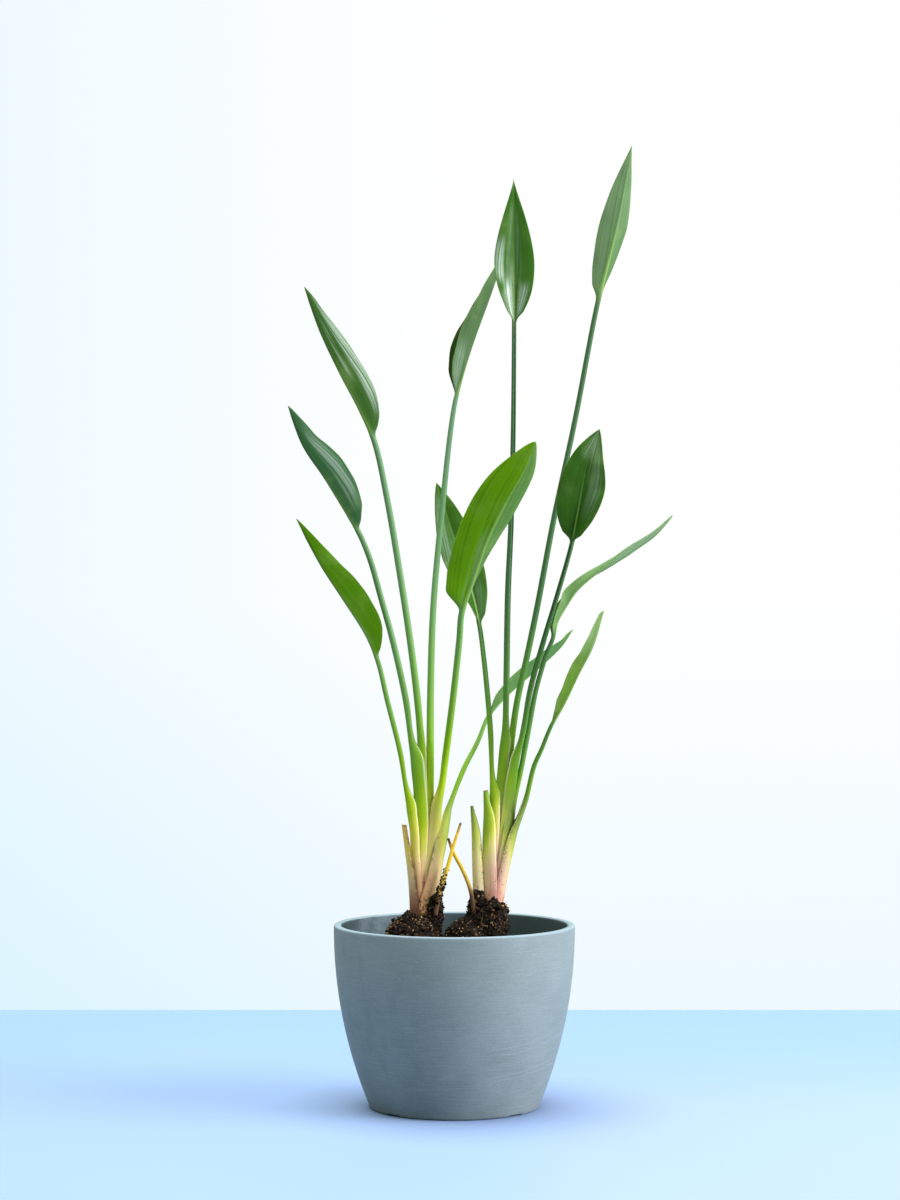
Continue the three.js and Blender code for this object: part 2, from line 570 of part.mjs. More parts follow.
// [x, y, z, half width, half depth, half height]. The first two are low mounds under the others.
const HEAPS = [
  [-32, -5, 116, 36, 34, 22],
  [33, 0, 116, 34, 32, 22],
  [-33, -6, 136, 23.5, 25, 25],
  [-28, -5, 156, 13, 12.5, 11.5],
  [-16, -9, 160, 7, 8, 18],
  [14, -1, 135, 23, 25, 22.5],
  [28, 0, 148, 16.5, 20, 23.5],
  [20.5, 1, 168, 8.5, 11, 17],
  [33, -3, 163, 11.5, 13, 10.5],
];

function soilFill() {
  const inner = (z) => potRadius(z) - POT.wall - GAP;
  const top = [0.96, 0.7, 0.4].map((part) => [part * inner(SOIL.edge), SOIL.level]);
  const profile = [
    [0, POT.floor + GAP], [inner(POT.floor) - POT.foot - GAP, POT.floor + GAP],
    ...LEVELS.map((z) => [inner(z), z]), ...top, [0, SOIL.level],
  ];
  const turned = latheGeometry(profile, POT.sides);
  const place = turned.attributes.position;
  for (let i = 0; i < place.count; i += 1) {
    const reach = Math.hypot(place.getX(i), place.getY(i));
    const onTop = place.getZ(i) > SOIL.level - 0.5 && reach < 0.98 * inner(SOIL.edge);
    if (onTop) place.setZ(i, SOIL.level + 2.4 * crumbs(place.getX(i), place.getY(i), 0));
  }
  return solidOf(turned);
}

// Rhizome with fleshy roots, from the crown's foot down into the soil
function rhizome(side, gap) {
  const [x, y] = CROWNS[side];
  const top = CROWN_Z - GAP;
  const draw = seeded(side === 'left' ? 11 : 23);
  const stem = [[0, 0, 8], [0, 2, 8.4], [0, 14, 9.2], [0, 28, 8.6], [0, 36, 4.5]];
  const path = stem.map(([lean, down, radius]) => [x + lean, y, top - down, radius, radius]);
  let body = rod(path, { gap, steps: 4, sides: 12 });
  const roots = 5;
  for (let i = 0; i < roots; i += 1) {
    const angle = 2 * Math.PI * (i + 0.5 * draw()) / roots;
    const way = [Math.cos(angle), Math.sin(angle)];
    const outward = side === 'left' ? -way[0] : way[0];
    const reach = 22 + 9 * outward + 3 * draw();
    const drop = 78 + 16 * draw();
    const sizes = [[0, 4.2], [0.12, 4.2], [0.45, 3.8], [0.8, 2.8], [1, 1.6]];
    const root = sizes.map(([part, radius]) => {
      const out = reach * part ** 0.8;
      return [x + way[0] * out, y + way[1] * out, top - 30 - drop * part, radius, radius];
    });
    body = body.add(rod(root, { gap, steps: 4, sides: 6, face: [-way[1], way[0], 0] }));
  }
  return body;
}

// Assembly

const group = new THREE.Group();

function add(name, geometry, color, roughness) {
  const mesh = new THREE.Mesh(geometry, new THREE.MeshStandardMaterial({ color, roughness }));
  mesh.name = name;
  group.add(mesh);
}

const rooms = LEAVES.map(room);
const stubRooms = STUBS.map((stub) => roomAlong(stub.sheath, stub.open));

add('pot', geometryFrom(potSolid()), 0x8ea4b4, 0.6);

const rhizomeRooms = [rhizome('left', GAP), rhizome('right', GAP)];
const soilBody = HEAPS.reduce((body, size) => body.add(heap(size)), soilFill());
const outerRooms = rooms.filter((space, i) => LEAVES[i].nest >= 4);
const buried = [...outerRooms, ...stubRooms, ...rhizomeRooms];
const soil = buried.reduce((body, space) => body.subtract(space), soilBody);
add('soil', geometryFrom(largest(soil)), 0x2c2018, 1);

add('rhizome_left', geometryFrom(rhizome('left', 0)), 0xb98d63, 0.8);
add('rhizome_right', geometryFrom(rhizome('right', 0)), 0xb98d63, 0.8);

// Each leaf gives way to the leaves nested inside it
function nested(leaf) {
  let body = solidOf(leafGeometry(leaf));
  LEAVES.forEach((other, i) => {
    const inner = other.crown === leaf.crown && other.nest < leaf.nest;
    if (inner) body = body.subtract(rooms[i]);
  });
  return largest(body);
}

for (const leaf of LEAVES) {
  add(leaf.name, geometryFrom(nested(leaf)), 0x4d8a34, 0.45);
}

STUBS.forEach((stub, i) => {
  const taken = [...rooms, ...rhizomeRooms, ...stubRooms.slice(0, i)];
  const body = taken.reduce((rest, space) => rest.subtract(space), solidOf(stubGeometry(stub)));
  add(stub.name, geometryFrom(largest(body)), 0xc9c07a, 0.6);
});

export default group;
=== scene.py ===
import itertools
import math

import bpy
import numpy as np
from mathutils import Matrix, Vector, noise


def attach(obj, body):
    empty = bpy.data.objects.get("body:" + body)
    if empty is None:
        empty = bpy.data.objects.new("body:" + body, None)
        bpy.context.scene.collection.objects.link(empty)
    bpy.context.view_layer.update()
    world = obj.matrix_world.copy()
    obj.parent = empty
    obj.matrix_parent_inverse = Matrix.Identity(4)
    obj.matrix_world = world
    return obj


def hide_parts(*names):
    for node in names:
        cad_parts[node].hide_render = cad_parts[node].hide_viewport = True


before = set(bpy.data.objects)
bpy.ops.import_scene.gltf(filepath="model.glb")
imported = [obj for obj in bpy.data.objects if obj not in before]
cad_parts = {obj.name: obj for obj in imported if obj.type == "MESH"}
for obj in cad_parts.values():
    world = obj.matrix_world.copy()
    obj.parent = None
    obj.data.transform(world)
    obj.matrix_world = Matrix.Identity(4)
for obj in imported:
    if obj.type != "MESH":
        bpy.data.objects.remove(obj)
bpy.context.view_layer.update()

# Potted bird of paradise. Objects are in metres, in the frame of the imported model: +Z up, the
# front facing -Y. The tables of the plant's and the pot's sizes are in millimetres.

MM = 0.001

# Camera: level, at the height and distance that the pot's ellipses in the photo give

CAMERA_PLACE = (-0.0036, -2.45, 0.42)
SENSOR = 36.0
FOCAL_PIXELS = 2952.0
PHOTO_HEIGHT = 1200


def make_camera():
    data = bpy.data.cameras.new("camera")
    data.sensor_width = SENSOR
    data.lens = SENSOR * FOCAL_PIXELS / PHOTO_HEIGHT
    camera = new_object("camera", data)
    camera.location = CAMERA_PLACE
    camera.rotation_euler = (math.pi / 2, 0, 0)
    bpy.context.scene.camera = camera


# Small helpers


def rgb(red, green, blue):
    """Scene colour of a screen colour given from 0 to 255."""
    def linear(level):
        x = level / 255
        return x / 12.92 if x <= 0.04045 else ((x + 0.055) / 1.055) ** 2.4
    return (linear(red), linear(green), linear(blue), 1.0)


def smooth(low, high, x):
    t = np.clip((x - low) / (high - low), 0, 1)
    return t * t * (3 - 2 * t)


def mix(a, b, t):
    return a + (b - a) * t


def along(values, t):
    """Value of an evenly keyed list at places t, from 0 at its first key to 1 at its last."""
    return np.interp(t, np.linspace(0, 1, len(values)), values)


def unit(vectors):
    return vectors / np.linalg.norm(vectors, axis=-1, keepdims=True)


def new_object(name, data):
    made = bpy.data.objects.new(name, data)
    bpy.context.scene.collection.objects.link(made)
    return made


def new_piece(name, points, faces, material, attributes=None):
    """Smooth mesh object from points in millimetres, with float attributes on its points."""
    mesh = bpy.data.meshes.new(name)
    mesh.from_pydata((np.asarray(points, float) * MM).tolist(), [], faces)
    mesh.validate()
    for key, values in (attributes or {}).items():
        layer = mesh.attributes.new(key, "FLOAT", "POINT")
        layer.data.foreach_set("value", np.asarray(values, np.float32).ravel())
    mesh.shade_smooth()
    mesh.materials.append(material)
    return new_object(name, mesh)


def dress(piece, slot, *nodes):
    """Puts a piece on the object's one body, in place of the nodes that it stands for."""
    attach(piece, "root")
    if nodes:
        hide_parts(*nodes)


# Materials


class Value:
    """What a node gives. Sums and products of values are made by more nodes."""

    def __init__(self, shader, socket):
        self.shader = shader
        self.socket = socket

    def __add__(self, other):
        return self.shader.math("ADD", self, other)

    def __radd__(self, other):
        return self.shader.math("ADD", other, self)

    def __sub__(self, other):
        return self.shader.math("SUBTRACT", self, other)

    def __rsub__(self, other):
        return self.shader.math("SUBTRACT", other, self)

    def __mul__(self, other):
        return self.shader.math("MULTIPLY", self, other)

    def __abs__(self):
        return self.shader.math("ABSOLUTE", self)

    def step(self, low, high):
        """0 at low and 1 at high, with a smooth change between them."""
        inputs = {"Value": self, "From Min": low, "From Max": high}
        return self.shader.value("MapRange", inputs, interpolation_type="SMOOTHSTEP")


class Shader:
    """The nodes of a new material or world, with short ways to add them.

    place is in the object's frame, in metres, and x, y and z are its parts in millimetres.
    """

    def __init__(self, owner):
        self.owner = owner
        owner.use_nodes = True
        self.tree = owner.node_tree
        self.tree.nodes.clear()
        self.place = self.value("TexCoord", output="Object")
        self.x, self.y, self.z = self.parts(self.place)

    def node(self, kind, inputs=(), **settings):
        """A new node. Each of its inputs is linked to a value, or set to a number or colour."""
        made = self.tree.nodes.new("ShaderNode" + kind)
        for key, setting in settings.items():
            setattr(made, key, setting)
        for key, given in dict(inputs).items():
            if isinstance(given, Value):
                self.tree.links.new(given.socket, made.inputs[key])
            else:
                made.inputs[key].default_value = given
        return made

    def value(self, kind, inputs=(), output=0, **settings):
        """An output of a new node."""
        return Value(self, self.node(kind, inputs, **settings).outputs[output])

    def math(self, operation, a, b=0, **settings):
        return self.value("Math", {0: a, 1: b}, operation=operation, **settings)

    def attribute(self, name):
        return self.value("Attribute", output="Fac", attribute_name=name)

    def parts(self, vector, length=MM):
        """The x, y and z of a vector, in millimetres or another length."""
        split = self.node("SeparateXYZ", {0: vector})
        return [Value(self, part) * (1 / length) for part in split.outputs]

    def noise(self, scale, detail=2, roughness=0.5, stretch=None):
        """Soft noise over the object, closer along each axis by its stretch."""
        vector = self.place
        if stretch:
            vector = self.value("Mapping", {"Vector": vector, "Scale": stretch})
        inputs = {"Vector": vector, "Scale": scale, "Detail": detail, "Roughness": roughness}
        return self.value("TexNoise", inputs)

    def lines(self, value, detail=1):
        """Uneven lines, one to each unit of a value."""
        inputs = {"W": value, "Scale": 1, "Detail": detail}
        return self.value("TexNoise", inputs, noise_dimensions="1D")

    def mix(self, share, a, b):
        return self.value("Mix", {0: share, 6: a, 7: b}, 2, data_type="RGBA")

    def tinted(self, base, *tints):
        """A colour under tints, each a share and a screen colour."""
        for share, colour in tints:
            base = self.mix(share, base, rgb(*colour))
        return base

    def ramp(self, value, stops):
        """Colour at a value, from stops with a value and a screen colour."""
        low, high = stops[0][0], stops[-1][0]
        made = self.node("ValToRGB", {0: self.math("DIVIDE", value - low, high - low)})
        spots = made.color_ramp.elements
        for _ in stops[2:]:
            spots.new(0.5)
        for spot, (at, colour) in zip(spots, stops):
            spot.position = (at - low) / (high - low)
            spot.color = rgb(*colour)
        return Value(self, made.outputs[0])

    def bump(self, height, distance):
        return self.value("Bump", {"Height": height, "Distance": distance})

    def finish(self, colour, roughness, normal=None, through=0.0, specular=0.5):
        """The surface. through: how much of the light behind shows."""
        inputs = {"Base Color": colour, "Roughness": roughness}
        if normal is not None:
            inputs["Normal"] = normal
        main = self.node("BsdfPrincipled", inputs)
        main.inputs["Specular IOR Level"].default_value = specular
        surface = Value(self, main.outputs[0])
        if through:
            behind = self.value("BsdfTranslucent", {"Color": colour})
            surface = self.value("MixShader", {0: through, 1: surface, 2: behind})
        self.node("OutputMaterial", {"Surface": surface})
        return self.owner


def new_material(name):
    return Shader(bpy.data.materials.new(name))


# Leaves. The sizes and routes are those of the model, in millimetres.

# nest: place in its crown from the inside out. round: radius at the sheath's top and the
# blade's foot. wrap: how far round the sheath closes, in degrees to each side.
# sheath: x, y, z, half depth and half width. stalk, blade: x, y, z.
# open: the way the sheath opens. face: the way the blade's upper face looks, foot to tip.
# wide: half width. widest: where it is widest. slim: how slowly it widens. fold: degrees.
# taper: how slowly it narrows to its tip, 0.85 where none is given.
# curl: how far each half curls back towards its margin, in degrees, 24 where none is given.
# skew: the right half's width beside the left's, foot to tip, where they differ.
# back, upper: the blade's colours. right: painted shade, a darker colour of the back's right half,
# where it differs.
# tone: how far up the crown's green starts, beside others.
# bloom_and_sheen: bands of pale waxy bloom and painted sheen, as across from and to, along from and
# to, and share.
# shine: specular level, 0.12 where none is given.
# vein: how strongly the veins show, beside others.

CROWN_Z = 158.3
# Height of a sheath's second key above its foot
SHEATH_RISE = 9
CROWNS = {"left": (-27, -5), "right": (32.5, 3)}
NEST_FIRST = 2.9
NEST_STEP = 1.15

LEAVES = {
    "leaf_left_1": dict(
        crown="left", nest=1, round=(3.3, 2.4), wrap=112,
        sheath=[(-27, -5, 190, 4.4, 4), (-25.6, -5, 215, 4.8, 4), (-24.8, -5, 240, 5.2, 4),
                (-24.4, -5, 262, 5.6, 4), (-25.6, -5, 288, 5.2, 3.8), (-27.6, -5, 307, 3.3, 3.3)],
        stalk=[(-30.3, -5, 337), (-36.6, -4, 387), (-45.6, -2, 445), (-55.6, 0, 503),
               (-66.5, 3, 552)],
        blade=[(-77.7, 7, 577), (-95.3, 12, 610), (-112, 18, 645), (-125.5, 25, 682.4)],
        open=(1, 0, 0), face=[(0.8, 0.35, 0.4), (0.6, 0.68, 0.4), (0.55, 0.72, 0.42)],
        wide=20.5, widest=0.43, slim=1.15, fold=(66, 46, 42), curl=-24,
        back=(52, 92, 36), upper=(60, 105, 30), tone=0,
        bloom_and_sheen=[(0.5, 1.15, 0.12, 1, 0.52), (0.2, 0.42, 0.4, 0.85, 0.26)],
    ),
    "leaf_left_2": dict(
        crown="left", nest=3, round=(3, 2.2), wrap=110,
        sheath=[(-27, -5, 190, 7, 6.8), (-25.5, -5, 212, 8.5, 6.9), (-24.6, -5, 234, 9.6, 6.8),
                (-25.4, -5, 258, 8.3, 6), (-28.4, -5.4, 284, 7.8, 4.8), (-35, -6, 303, 3.1, 3.1)],
        stalk=[(-39.9, -7, 337), (-51, -8, 387), (-60.7, -8, 422), (-69.9, -9, 454),
               (-79.1, -9, 476)],
        blade=[(-88.8, -9, 492), (-107.3, -10, 521.5), (-125.1, -10, 548), (-137.3, -10, 580.4)],
        open=(1, 0, 0), face=[(0.8, 0.35, 0.45), (0.6, 0.66, 0.48), (0.55, 0.7, 0.5)],
        wide=21, widest=0.47, slim=1.15, fold=(66, 46, 42), curl=-24,
        back=(50, 94, 58), upper=(55, 100, 40), tone=-30,
        bloom_and_sheen=[(0.3, 0.95, 0.2, 0.9, 0.3)],
    ),
    "leaf_left_3": dict(
        crown="left", nest=4, round=(2.4, 2), wrap=108,
        sheath=[(-28.5, -5, 187, 7, 8), (-30.3, -5, 210, 6, 8), (-31, -5.2, 228, 5.9, 7.6),
                (-33.8, -5.8, 248, 6, 5), (-39.3, -7, 263, 2.5, 2.5)],
        stalk=[(-44.4, -10, 293), (-55.5, -14, 338), (-63.3, -18, 370.5)],
        blade=[(-71.8, -23, 390.5), (-90.5, -30, 420), (-108.6, -38, 448), (-128.6, -45, 486.2)],
        open=(1, 0, 0), face=[(0.8, 0.35, 0.45), (0.55, 0.68, 0.5), (0.5, 0.7, 0.5)],
        wide=18.8, widest=0.45, slim=1.15, fold=(66, 50, 44), curl=-12,
        back=(76, 126, 2), upper=(70, 120, 10), tone=-12, shine=0.06,
        bloom_and_sheen=[(-0.9, 0.16, 0.12, 0.72, 0.3)],
    ),
    "leaf_left_4": dict(
        crown="left", nest=0, round=(3.3, 2.1), wrap=100,
        sheath=[(-26.5, -5, 190, 3.2, 2.9), (-24, -5, 215, 3.6, 2.9), (-22, -5, 240, 4, 3),
                (-20.8, -5, 262, 3.8, 3.1), (-20.3, -4.6, 290, 3.5, 3.2), (-20.2, -4, 308, 3.3, 3.3)],
        stalk=[(-19.9, 0, 345), (-17.6, 7, 415), (-9, 16, 509), (-3.2, 22, 562), (1, 25, 588.5)],
        blade=[(7.3, 28, 611.5), (17, 33, 641), (29.3, 38, 674), (44.6, 44, 718.2)],
        open=(-1, 0, 0),
        face=[(-0.95, 0, 0.25), (-0.92, -0.26, 0.28), (-0.94, -0.1, 0.28), (-0.94, 0.05, 0.28)],
        wide=17.6, widest=0.43, slim=1.6, fold=(85, 74, 72, 66),
        back=(72, 108, 60), upper=(20, 54, 4), tone=0, shine=0.1,
        bloom_and_sheen=[(-1.1, 0, -0.1, 0.5, 0.22)],
    ),
    "leaf_left_5": dict(
        crown="left", nest=2, round=(3, 2.5), wrap=112,
        sheath=[(-25, -5.5, 190, 6, 5.6), (-20.5, -6, 212, 6.5, 5.7), (-17, -7, 234, 6.6, 5.2),
                (-14.8, -8.5, 250, 5.4, 4), (-10.6, -11, 266, 3, 3)],
        stalk=[(-6.9, -15, 294), (-1.3, -30, 338), (4, -46, 387), (6, -56, 410)],
        blade=[(14.5, -62, 434.5), (25.6, -71, 467), (40.6, -80, 498), (55.7, -86, 524.2),
               (64.8, -90, 546.7)],
        open=(-0.7, 0.7, 0), face=[(-0.55, 0.8, 0.2), (-0.25, 0.95, 0.2), (-0.15, 0.97, 0.2)],
        wide=25.3, widest=0.5, slim=0.28, taper=0.72, fold=(20, 12, 8), curl=-24,
        skew=(0.15, 0.15, 0.45, 0.58, 0.6, 0.6),
        back=(104, 160, 8), upper=(80, 125, 20), right=(88, 130, 62), tone=14, shine=0.06,
        vein=1.6,
        bloom_and_sheen=[(-0.35, 0.1, -0.1, 0.5, 0.12)],
    ),
    "leaf_left_6": dict(
        crown="left", nest=5, round=(2.4, 1.8), wrap=112,
        sheath=[(-20.5, -5, 187, 8.6, 9.2), (-15.9, -5, 207, 7.3, 8.8), (-11.6, -4.5, 226, 6.6, 7.6),
                (-8.2, -3, 237, 4.8, 5), (-3.8, 0, 250, 2.5, 2.5)],
        stalk=[(7.7, 9, 279), (19.3, 21, 301), (29.3, 31, 323.5)],
        blade=[(42.4, 37, 338.2), (60.2, 45, 353.5), (76.5, 51, 367), (91.2, 56, 381),
               (101, 60, 395.1)],
        open=(-1, 0, 0), face=[(-0.66, 0.2, 0.7), (-0.62, 0.32, 0.7), (-0.6, 0.3, 0.7)],
        wide=12.4, widest=0.45, slim=0.8, fold=(65, 45, 45),
        back=(87, 132, 70), upper=(84, 126, 50), tone=-34,
    ),
    "leaf_right_1": dict(
        crown="right", nest=3, round=(2.5, 2), wrap=108,
        sheath=[(33.4, 3, 190, 6.4, 6.8), (34.4, 3, 215, 6.8, 7), (35.6, 3, 240, 6.9, 6.4),
                (35.4, 3, 256, 6.4, 5.2), (32, 4, 272, 2.6, 2.6)],
        stalk=[(30.3, 8, 309), (28.2, 15, 336), (24.9, 26, 370), (21.5, 38, 397)],
        blade=[(15.9, 48, 424), (5.7, 57, 456), (-4.5, 66, 487), (-15.2, 75, 520.2)],
        open=(1, 0, 0), face=[(0.6, -0.7, 0.3), (0.2, -0.95, 0.2), (0.2, -0.95, 0.2)],
        wide=17, widest=0.5, slim=0.8, fold=(50, 22, 20),
        back=(66, 100, 40), upper=(44, 92, 10), tone=0, shine=0.25,
        bloom_and_sheen=[(0.2, 1.1, 0.3, 1, 0.18), (-0.9, 0.3, 0, 0.4, 0.1)],
    ),
    "leaf_right_2": dict(
        crown="right", nest=1, round=(3, 1.9), wrap=112,
        sheath=[(34, 3, 190, 4.6, 4), (36, 3, 220, 5.6, 4), (39.4, 3, 250, 6.2, 4),
                (42.3, 3, 275, 6.8, 4), (43.4, 3, 297, 6, 3.9), (42.9, 3, 316, 3.1, 3.1)],
        stalk=[(43.4, 3, 350), (44.6, 3, 427), (47.1, 4, 483), (49, 4, 561), (49.7, 4, 647.5)],
        blade=[(49.8, 4, 676), (49.7, 4, 706), (49.6, 4, 738), (49.4, 5, 770)],
        open=(1, 0, 0), face=[(0.3, -0.9, 0), (0, -1, 0.1), (0, -1, 0.1)],
        wide=17.4, widest=0.42, slim=1, taper=1.15, fold=(50, 24, 28),
        back=(70, 105, 50), upper=(54, 106, 26), tone=0, shine=0.3,
        bloom_and_sheen=[(0.45, 1.05, 0.28, 0.66, 0.6), (0.02, 0.75, -0.05, 0.36, 0.85),
               (0.1, 0.5, 0.3, 0.95, 0.1), (-0.45, -0.02, 0.1, 0.9, 0.1),
               (-0.9, -0.15, 0.02, 0.34, 0.55)],
    ),
    "leaf_right_3": dict(
        crown="right", nest=0, round=(2.9, 2.1), wrap=100,
        sheath=[(34.5, 3, 190, 3.2, 2.9), (38, 3, 225, 3.6, 3), (42.2, 3, 262, 3.6, 3),
                (45.6, 3.2, 290, 3.2, 3), (49.4, 3.5, 319, 2.9, 2.9)],
        stalk=[(52.3, 4, 337), (60, 6, 371), (69.2, 8, 415), (83.1, 12, 488), (100.8, 16, 570),
               (119.8, 20, 668)],
        blade=[(128.7, 22, 702.6), (136.4, 24, 734.3), (143.1, 27, 768.2), (149.1, 30, 801.6)],
        open=(-1, 0, 0), face=[(-0.45, 0.88, 0), (-0.2, 0.98, -0.05), (-0.2, 0.98, -0.05)],
        wide=15.3, widest=0.45, slim=0.6, taper=1, fold=(45, 16, 14), curl=-18,
        skew=(0.75, 0.68),
        back=(92, 130, 80), upper=(96, 140, 76), tone=0,
        bloom_and_sheen=[(-1.3, 0.15, -0.3, 1.4, 0.15)],
    ),
    "leaf_right_4": dict(
        crown="right", nest=2, round=(2.6, 1.9), wrap=110,
        sheath=[(34.6, 3, 190, 5.6, 5.6), (38.5, 2.5, 220, 6.4, 5.6), (42.4, 1.5, 250, 7, 5.2),
                (45.2, 0.5, 272, 7, 4.6), (48.2, -0.5, 285, 5.6, 4), (54.2, -2, 300, 2.8, 2.8)],
        stalk=[(57.8, -4, 316), (62.8, -9, 346), (74, -18, 388), (81.9, -24, 415),
               (96, -32, 465.5)],
        blade=[(100.3, -35, 488), (104.7, -37, 512.5), (109.6, -38, 536), (118.6, -38, 559.6)],
        open=(-1, 0, 0), face=[(-0.4, -0.85, 0.2), (-0.08, -0.98, 0.15), (-0.08, -0.98, 0.15)],
        wide=19.8, widest=0.45, slim=0.75, fold=(50, 26, 26),
        back=(66, 104, 48), upper=(46, 94, 20), tone=-20, shine=0.2,
        bloom_and_sheen=[(-0.95, -0.08, 0.2, 1, 0.14), (-0.7, 0.7, 0.7, 1.2, 0.25)],
    ),
    "leaf_right_5": dict(
        crown="right", nest=4, round=(2.5, 1.8), wrap=108,
        sheath=[(35, 3, 190, 6.8, 8), (39.5, 3, 212, 6.4, 8), (43.3, 3, 234, 6.3, 7),
                (46, 3.2, 247, 5.2, 5), (50.8, 3.5, 260, 2.6, 2.6)],
        stalk=[(54.6, 4, 276), (62.4, 6, 316), (68.2, 7, 346), (76.8, 8, 375), (81.9, 9, 387.5)],
        blade=[(85.4, 10, 402), (93.6, 11, 416), (103, 12, 429), (124.9, 14, 447.8),
               (143.7, 17, 462.6), (166.6, 19, 477), (182.7, 20, 491)],
        open=(-1, 0, 0),
        face=[(-0.86, -0.42, 0.28), (-0.86, -0.3, 0.4), (-0.8, -0.1, 0.6), (-0.4, 0.7, 0.6),
              (0, 1, 0), (0.35, 0.8, -0.45), (0.4, 0.75, -0.5), (0.4, 0.75, -0.5)],
        wide=8.2, widest=0.4, slim=0.7, taper=0.6,
        fold=(74, 76, 80, 84, 86, 80, 74, 70),
        back=(104, 144, 84), upper=(54, 98, 26), tone=-40,
        bloom_and_sheen=[(-1.2, 1.2, 0.5, 1.4, 0.3)],
    ),
    "leaf_right_6": dict(
        crown="right", nest=5, round=(2.3, 1.7), wrap=108,
        sheath=[(37.8, 2.5, 191, 6.8, 9), (43, 1.5, 213, 6.2, 8.2), (47.9, 0, 229, 5, 5.4),
                (54, -2.5, 242, 3.2, 3.2), (59, -5, 254.5, 2.3, 2.3)],
        stalk=[(65.8, -12, 283), (71.8, -16, 297), (80, -22, 317.5)],
        blade=[(89.6, -27, 334.5), (101.7, -31, 359.5), (113.6, -36, 383), (121.9, -40, 411.2)],
        open=(-1, 0, 0), face=[(-0.88, 0.1, 0.4), (-0.85, 0.22, 0.42), (-0.85, 0.2, 0.42)],
        wide=9.8, widest=0.55, slim=0.65, taper=0.45, fold=(80, 66, 60),
        back=(108, 148, 50), upper=(100, 140, 50), tone=-36,
        bloom_and_sheen=[(-2.5, 2.5, 0.55, 1.5, 0.18)],
    ),
}

# Old sheaths, cut off or dried to a point. closes: the key where one turns solid.
STUBS = {
    "old_sheath_left": dict(
        wrap=50, wall=1.2, open=(0.87, 0.5, 0),
        sheath=[(-27, -5, 158.3, 9.9, 9.9), (-27.8, -5.3, 175, 9.6, 9.6), (-31, -6, 195, 8, 7.6),
                (-35, -7, 215, 6.4, 6), (-38.8, -8.5, 235, 4.8, 4.8)],
    ),
    "cut_leaf_right": dict(
        wrap=92, wall=1, open=(1, 0.25, 0), closes=5,
        sheath=[(32.5, 3, 158.3, 9.8, 9.8), (32.6, 2.8, 185, 9, 9.6), (32, 1.6, 215, 8.8, 8.6),
                (31.4, 0.5, 240, 7.4, 6.8), (27.6, 0, 255, 3.6, 3.2), (25.9, 0, 262, 1.9, 1.9)],
    ),
    "old_sheath_right": dict(
        wrap=62, wall=0.9, open=(0.3, 0.95, 0),
        sheath=[(21.3, 1, 159, 6, 6), (21, 1, 180, 5.8, 5.8), (19.8, 0, 205, 5.2, 5.2),
                (18.4, -1, 228, 4.2, 4.2), (14.6, -2, 249.5, 1.4, 1.4)],
    ),
    "dry_sheath_left": dict(
        wrap=60, wall=0.8, open=(-0.4, 0.9, 0),
        sheath=[(-16, -16, 160, 2.2, 2.2), (-12, -16.5, 180, 2.2, 2.2), (-6, -17.5, 200, 2.1, 2.1),
                (-1.6, -18, 216, 1.8, 1.8), (5, -18, 236.5, 1.2, 1.2)],
    ),
    "dry_sheath_right": dict(
        wrap=60, wall=0.8, open=(0.4, 0.9, 0),
        sheath=[(17, -9, 160, 2.2, 2.2), (13.5, -8.5, 181, 2.2, 2.2), (7.6, -8, 196, 2, 2),
                (-0.4, -7.5, 211, 1.8, 1.8), (-4.9, -7, 223, 1.3, 1.3)],
    ),
}


# Shape of the leaves, in millimetres and degrees

WALL = 0.7
THIN_EDGE = 0.65
GROOVE_WIDTH = 0.6
GROOVE_DEPTH = 0.4
STALK_WRAP = 150
# Keys over which a sheath turns into a solid stalk
CLOSING = 1.4
CURL = 24
TAPER = 0.85
# The fold of a blade sets in within this reach, or this share of its half width
CREASE = 1.6
CREASE_SHARE = 0.3
BLADE_THICK = (0.95, 0.5)
BLADE_EDGE = 0.93
# A tube opens into a blade over this share of the blade's length
OPENING = 0.1
# Least half width of a blade, below and at its tip, and where the tip starts
LEAST_HALF = (1, 0.25)
TIP_START = 0.9
# Midrib: height at its foot beside the stalk's radius, height at its tip, its share on the
# upper face, and its width beside the stalk's radius
RIB_FOOT = 0.9
RIB_TIP = 0.1
FACE_RIB = 0.25
RIB_WIDTH = (0.85, 0.3)
# Waves of a whole blade, each with its number and its shift, and their height
WAVES = ((17, 2), (8, 1))
WAVE = 0.25
# Ripples of its halves: waves along, waves across, shift and height
RIPPLES = ((23, 2.5, 1, 0.28), (41, -3.1, 2, 0.14))
# Rings of a sheath, a stalk and a blade
RINGS = (56, 44, 120)
STUB_RINGS = 76
# Places across half a blade, closer at the midrib and at the margin
HALF_PLACES = np.array([0, 0.02, 0.045, 0.08, 0.13, 0.2, 0.3, 0.42, 0.54, 0.66, 0.77, 0.86,
                        0.93, 0.975, 1])
ACROSS = np.concatenate([-HALF_PLACES[:0:-1], HALF_PLACES])
SIDE_POINTS = len(ACROSS)
EVEN_PLACES = np.linspace(-1, 1, SIDE_POINTS)


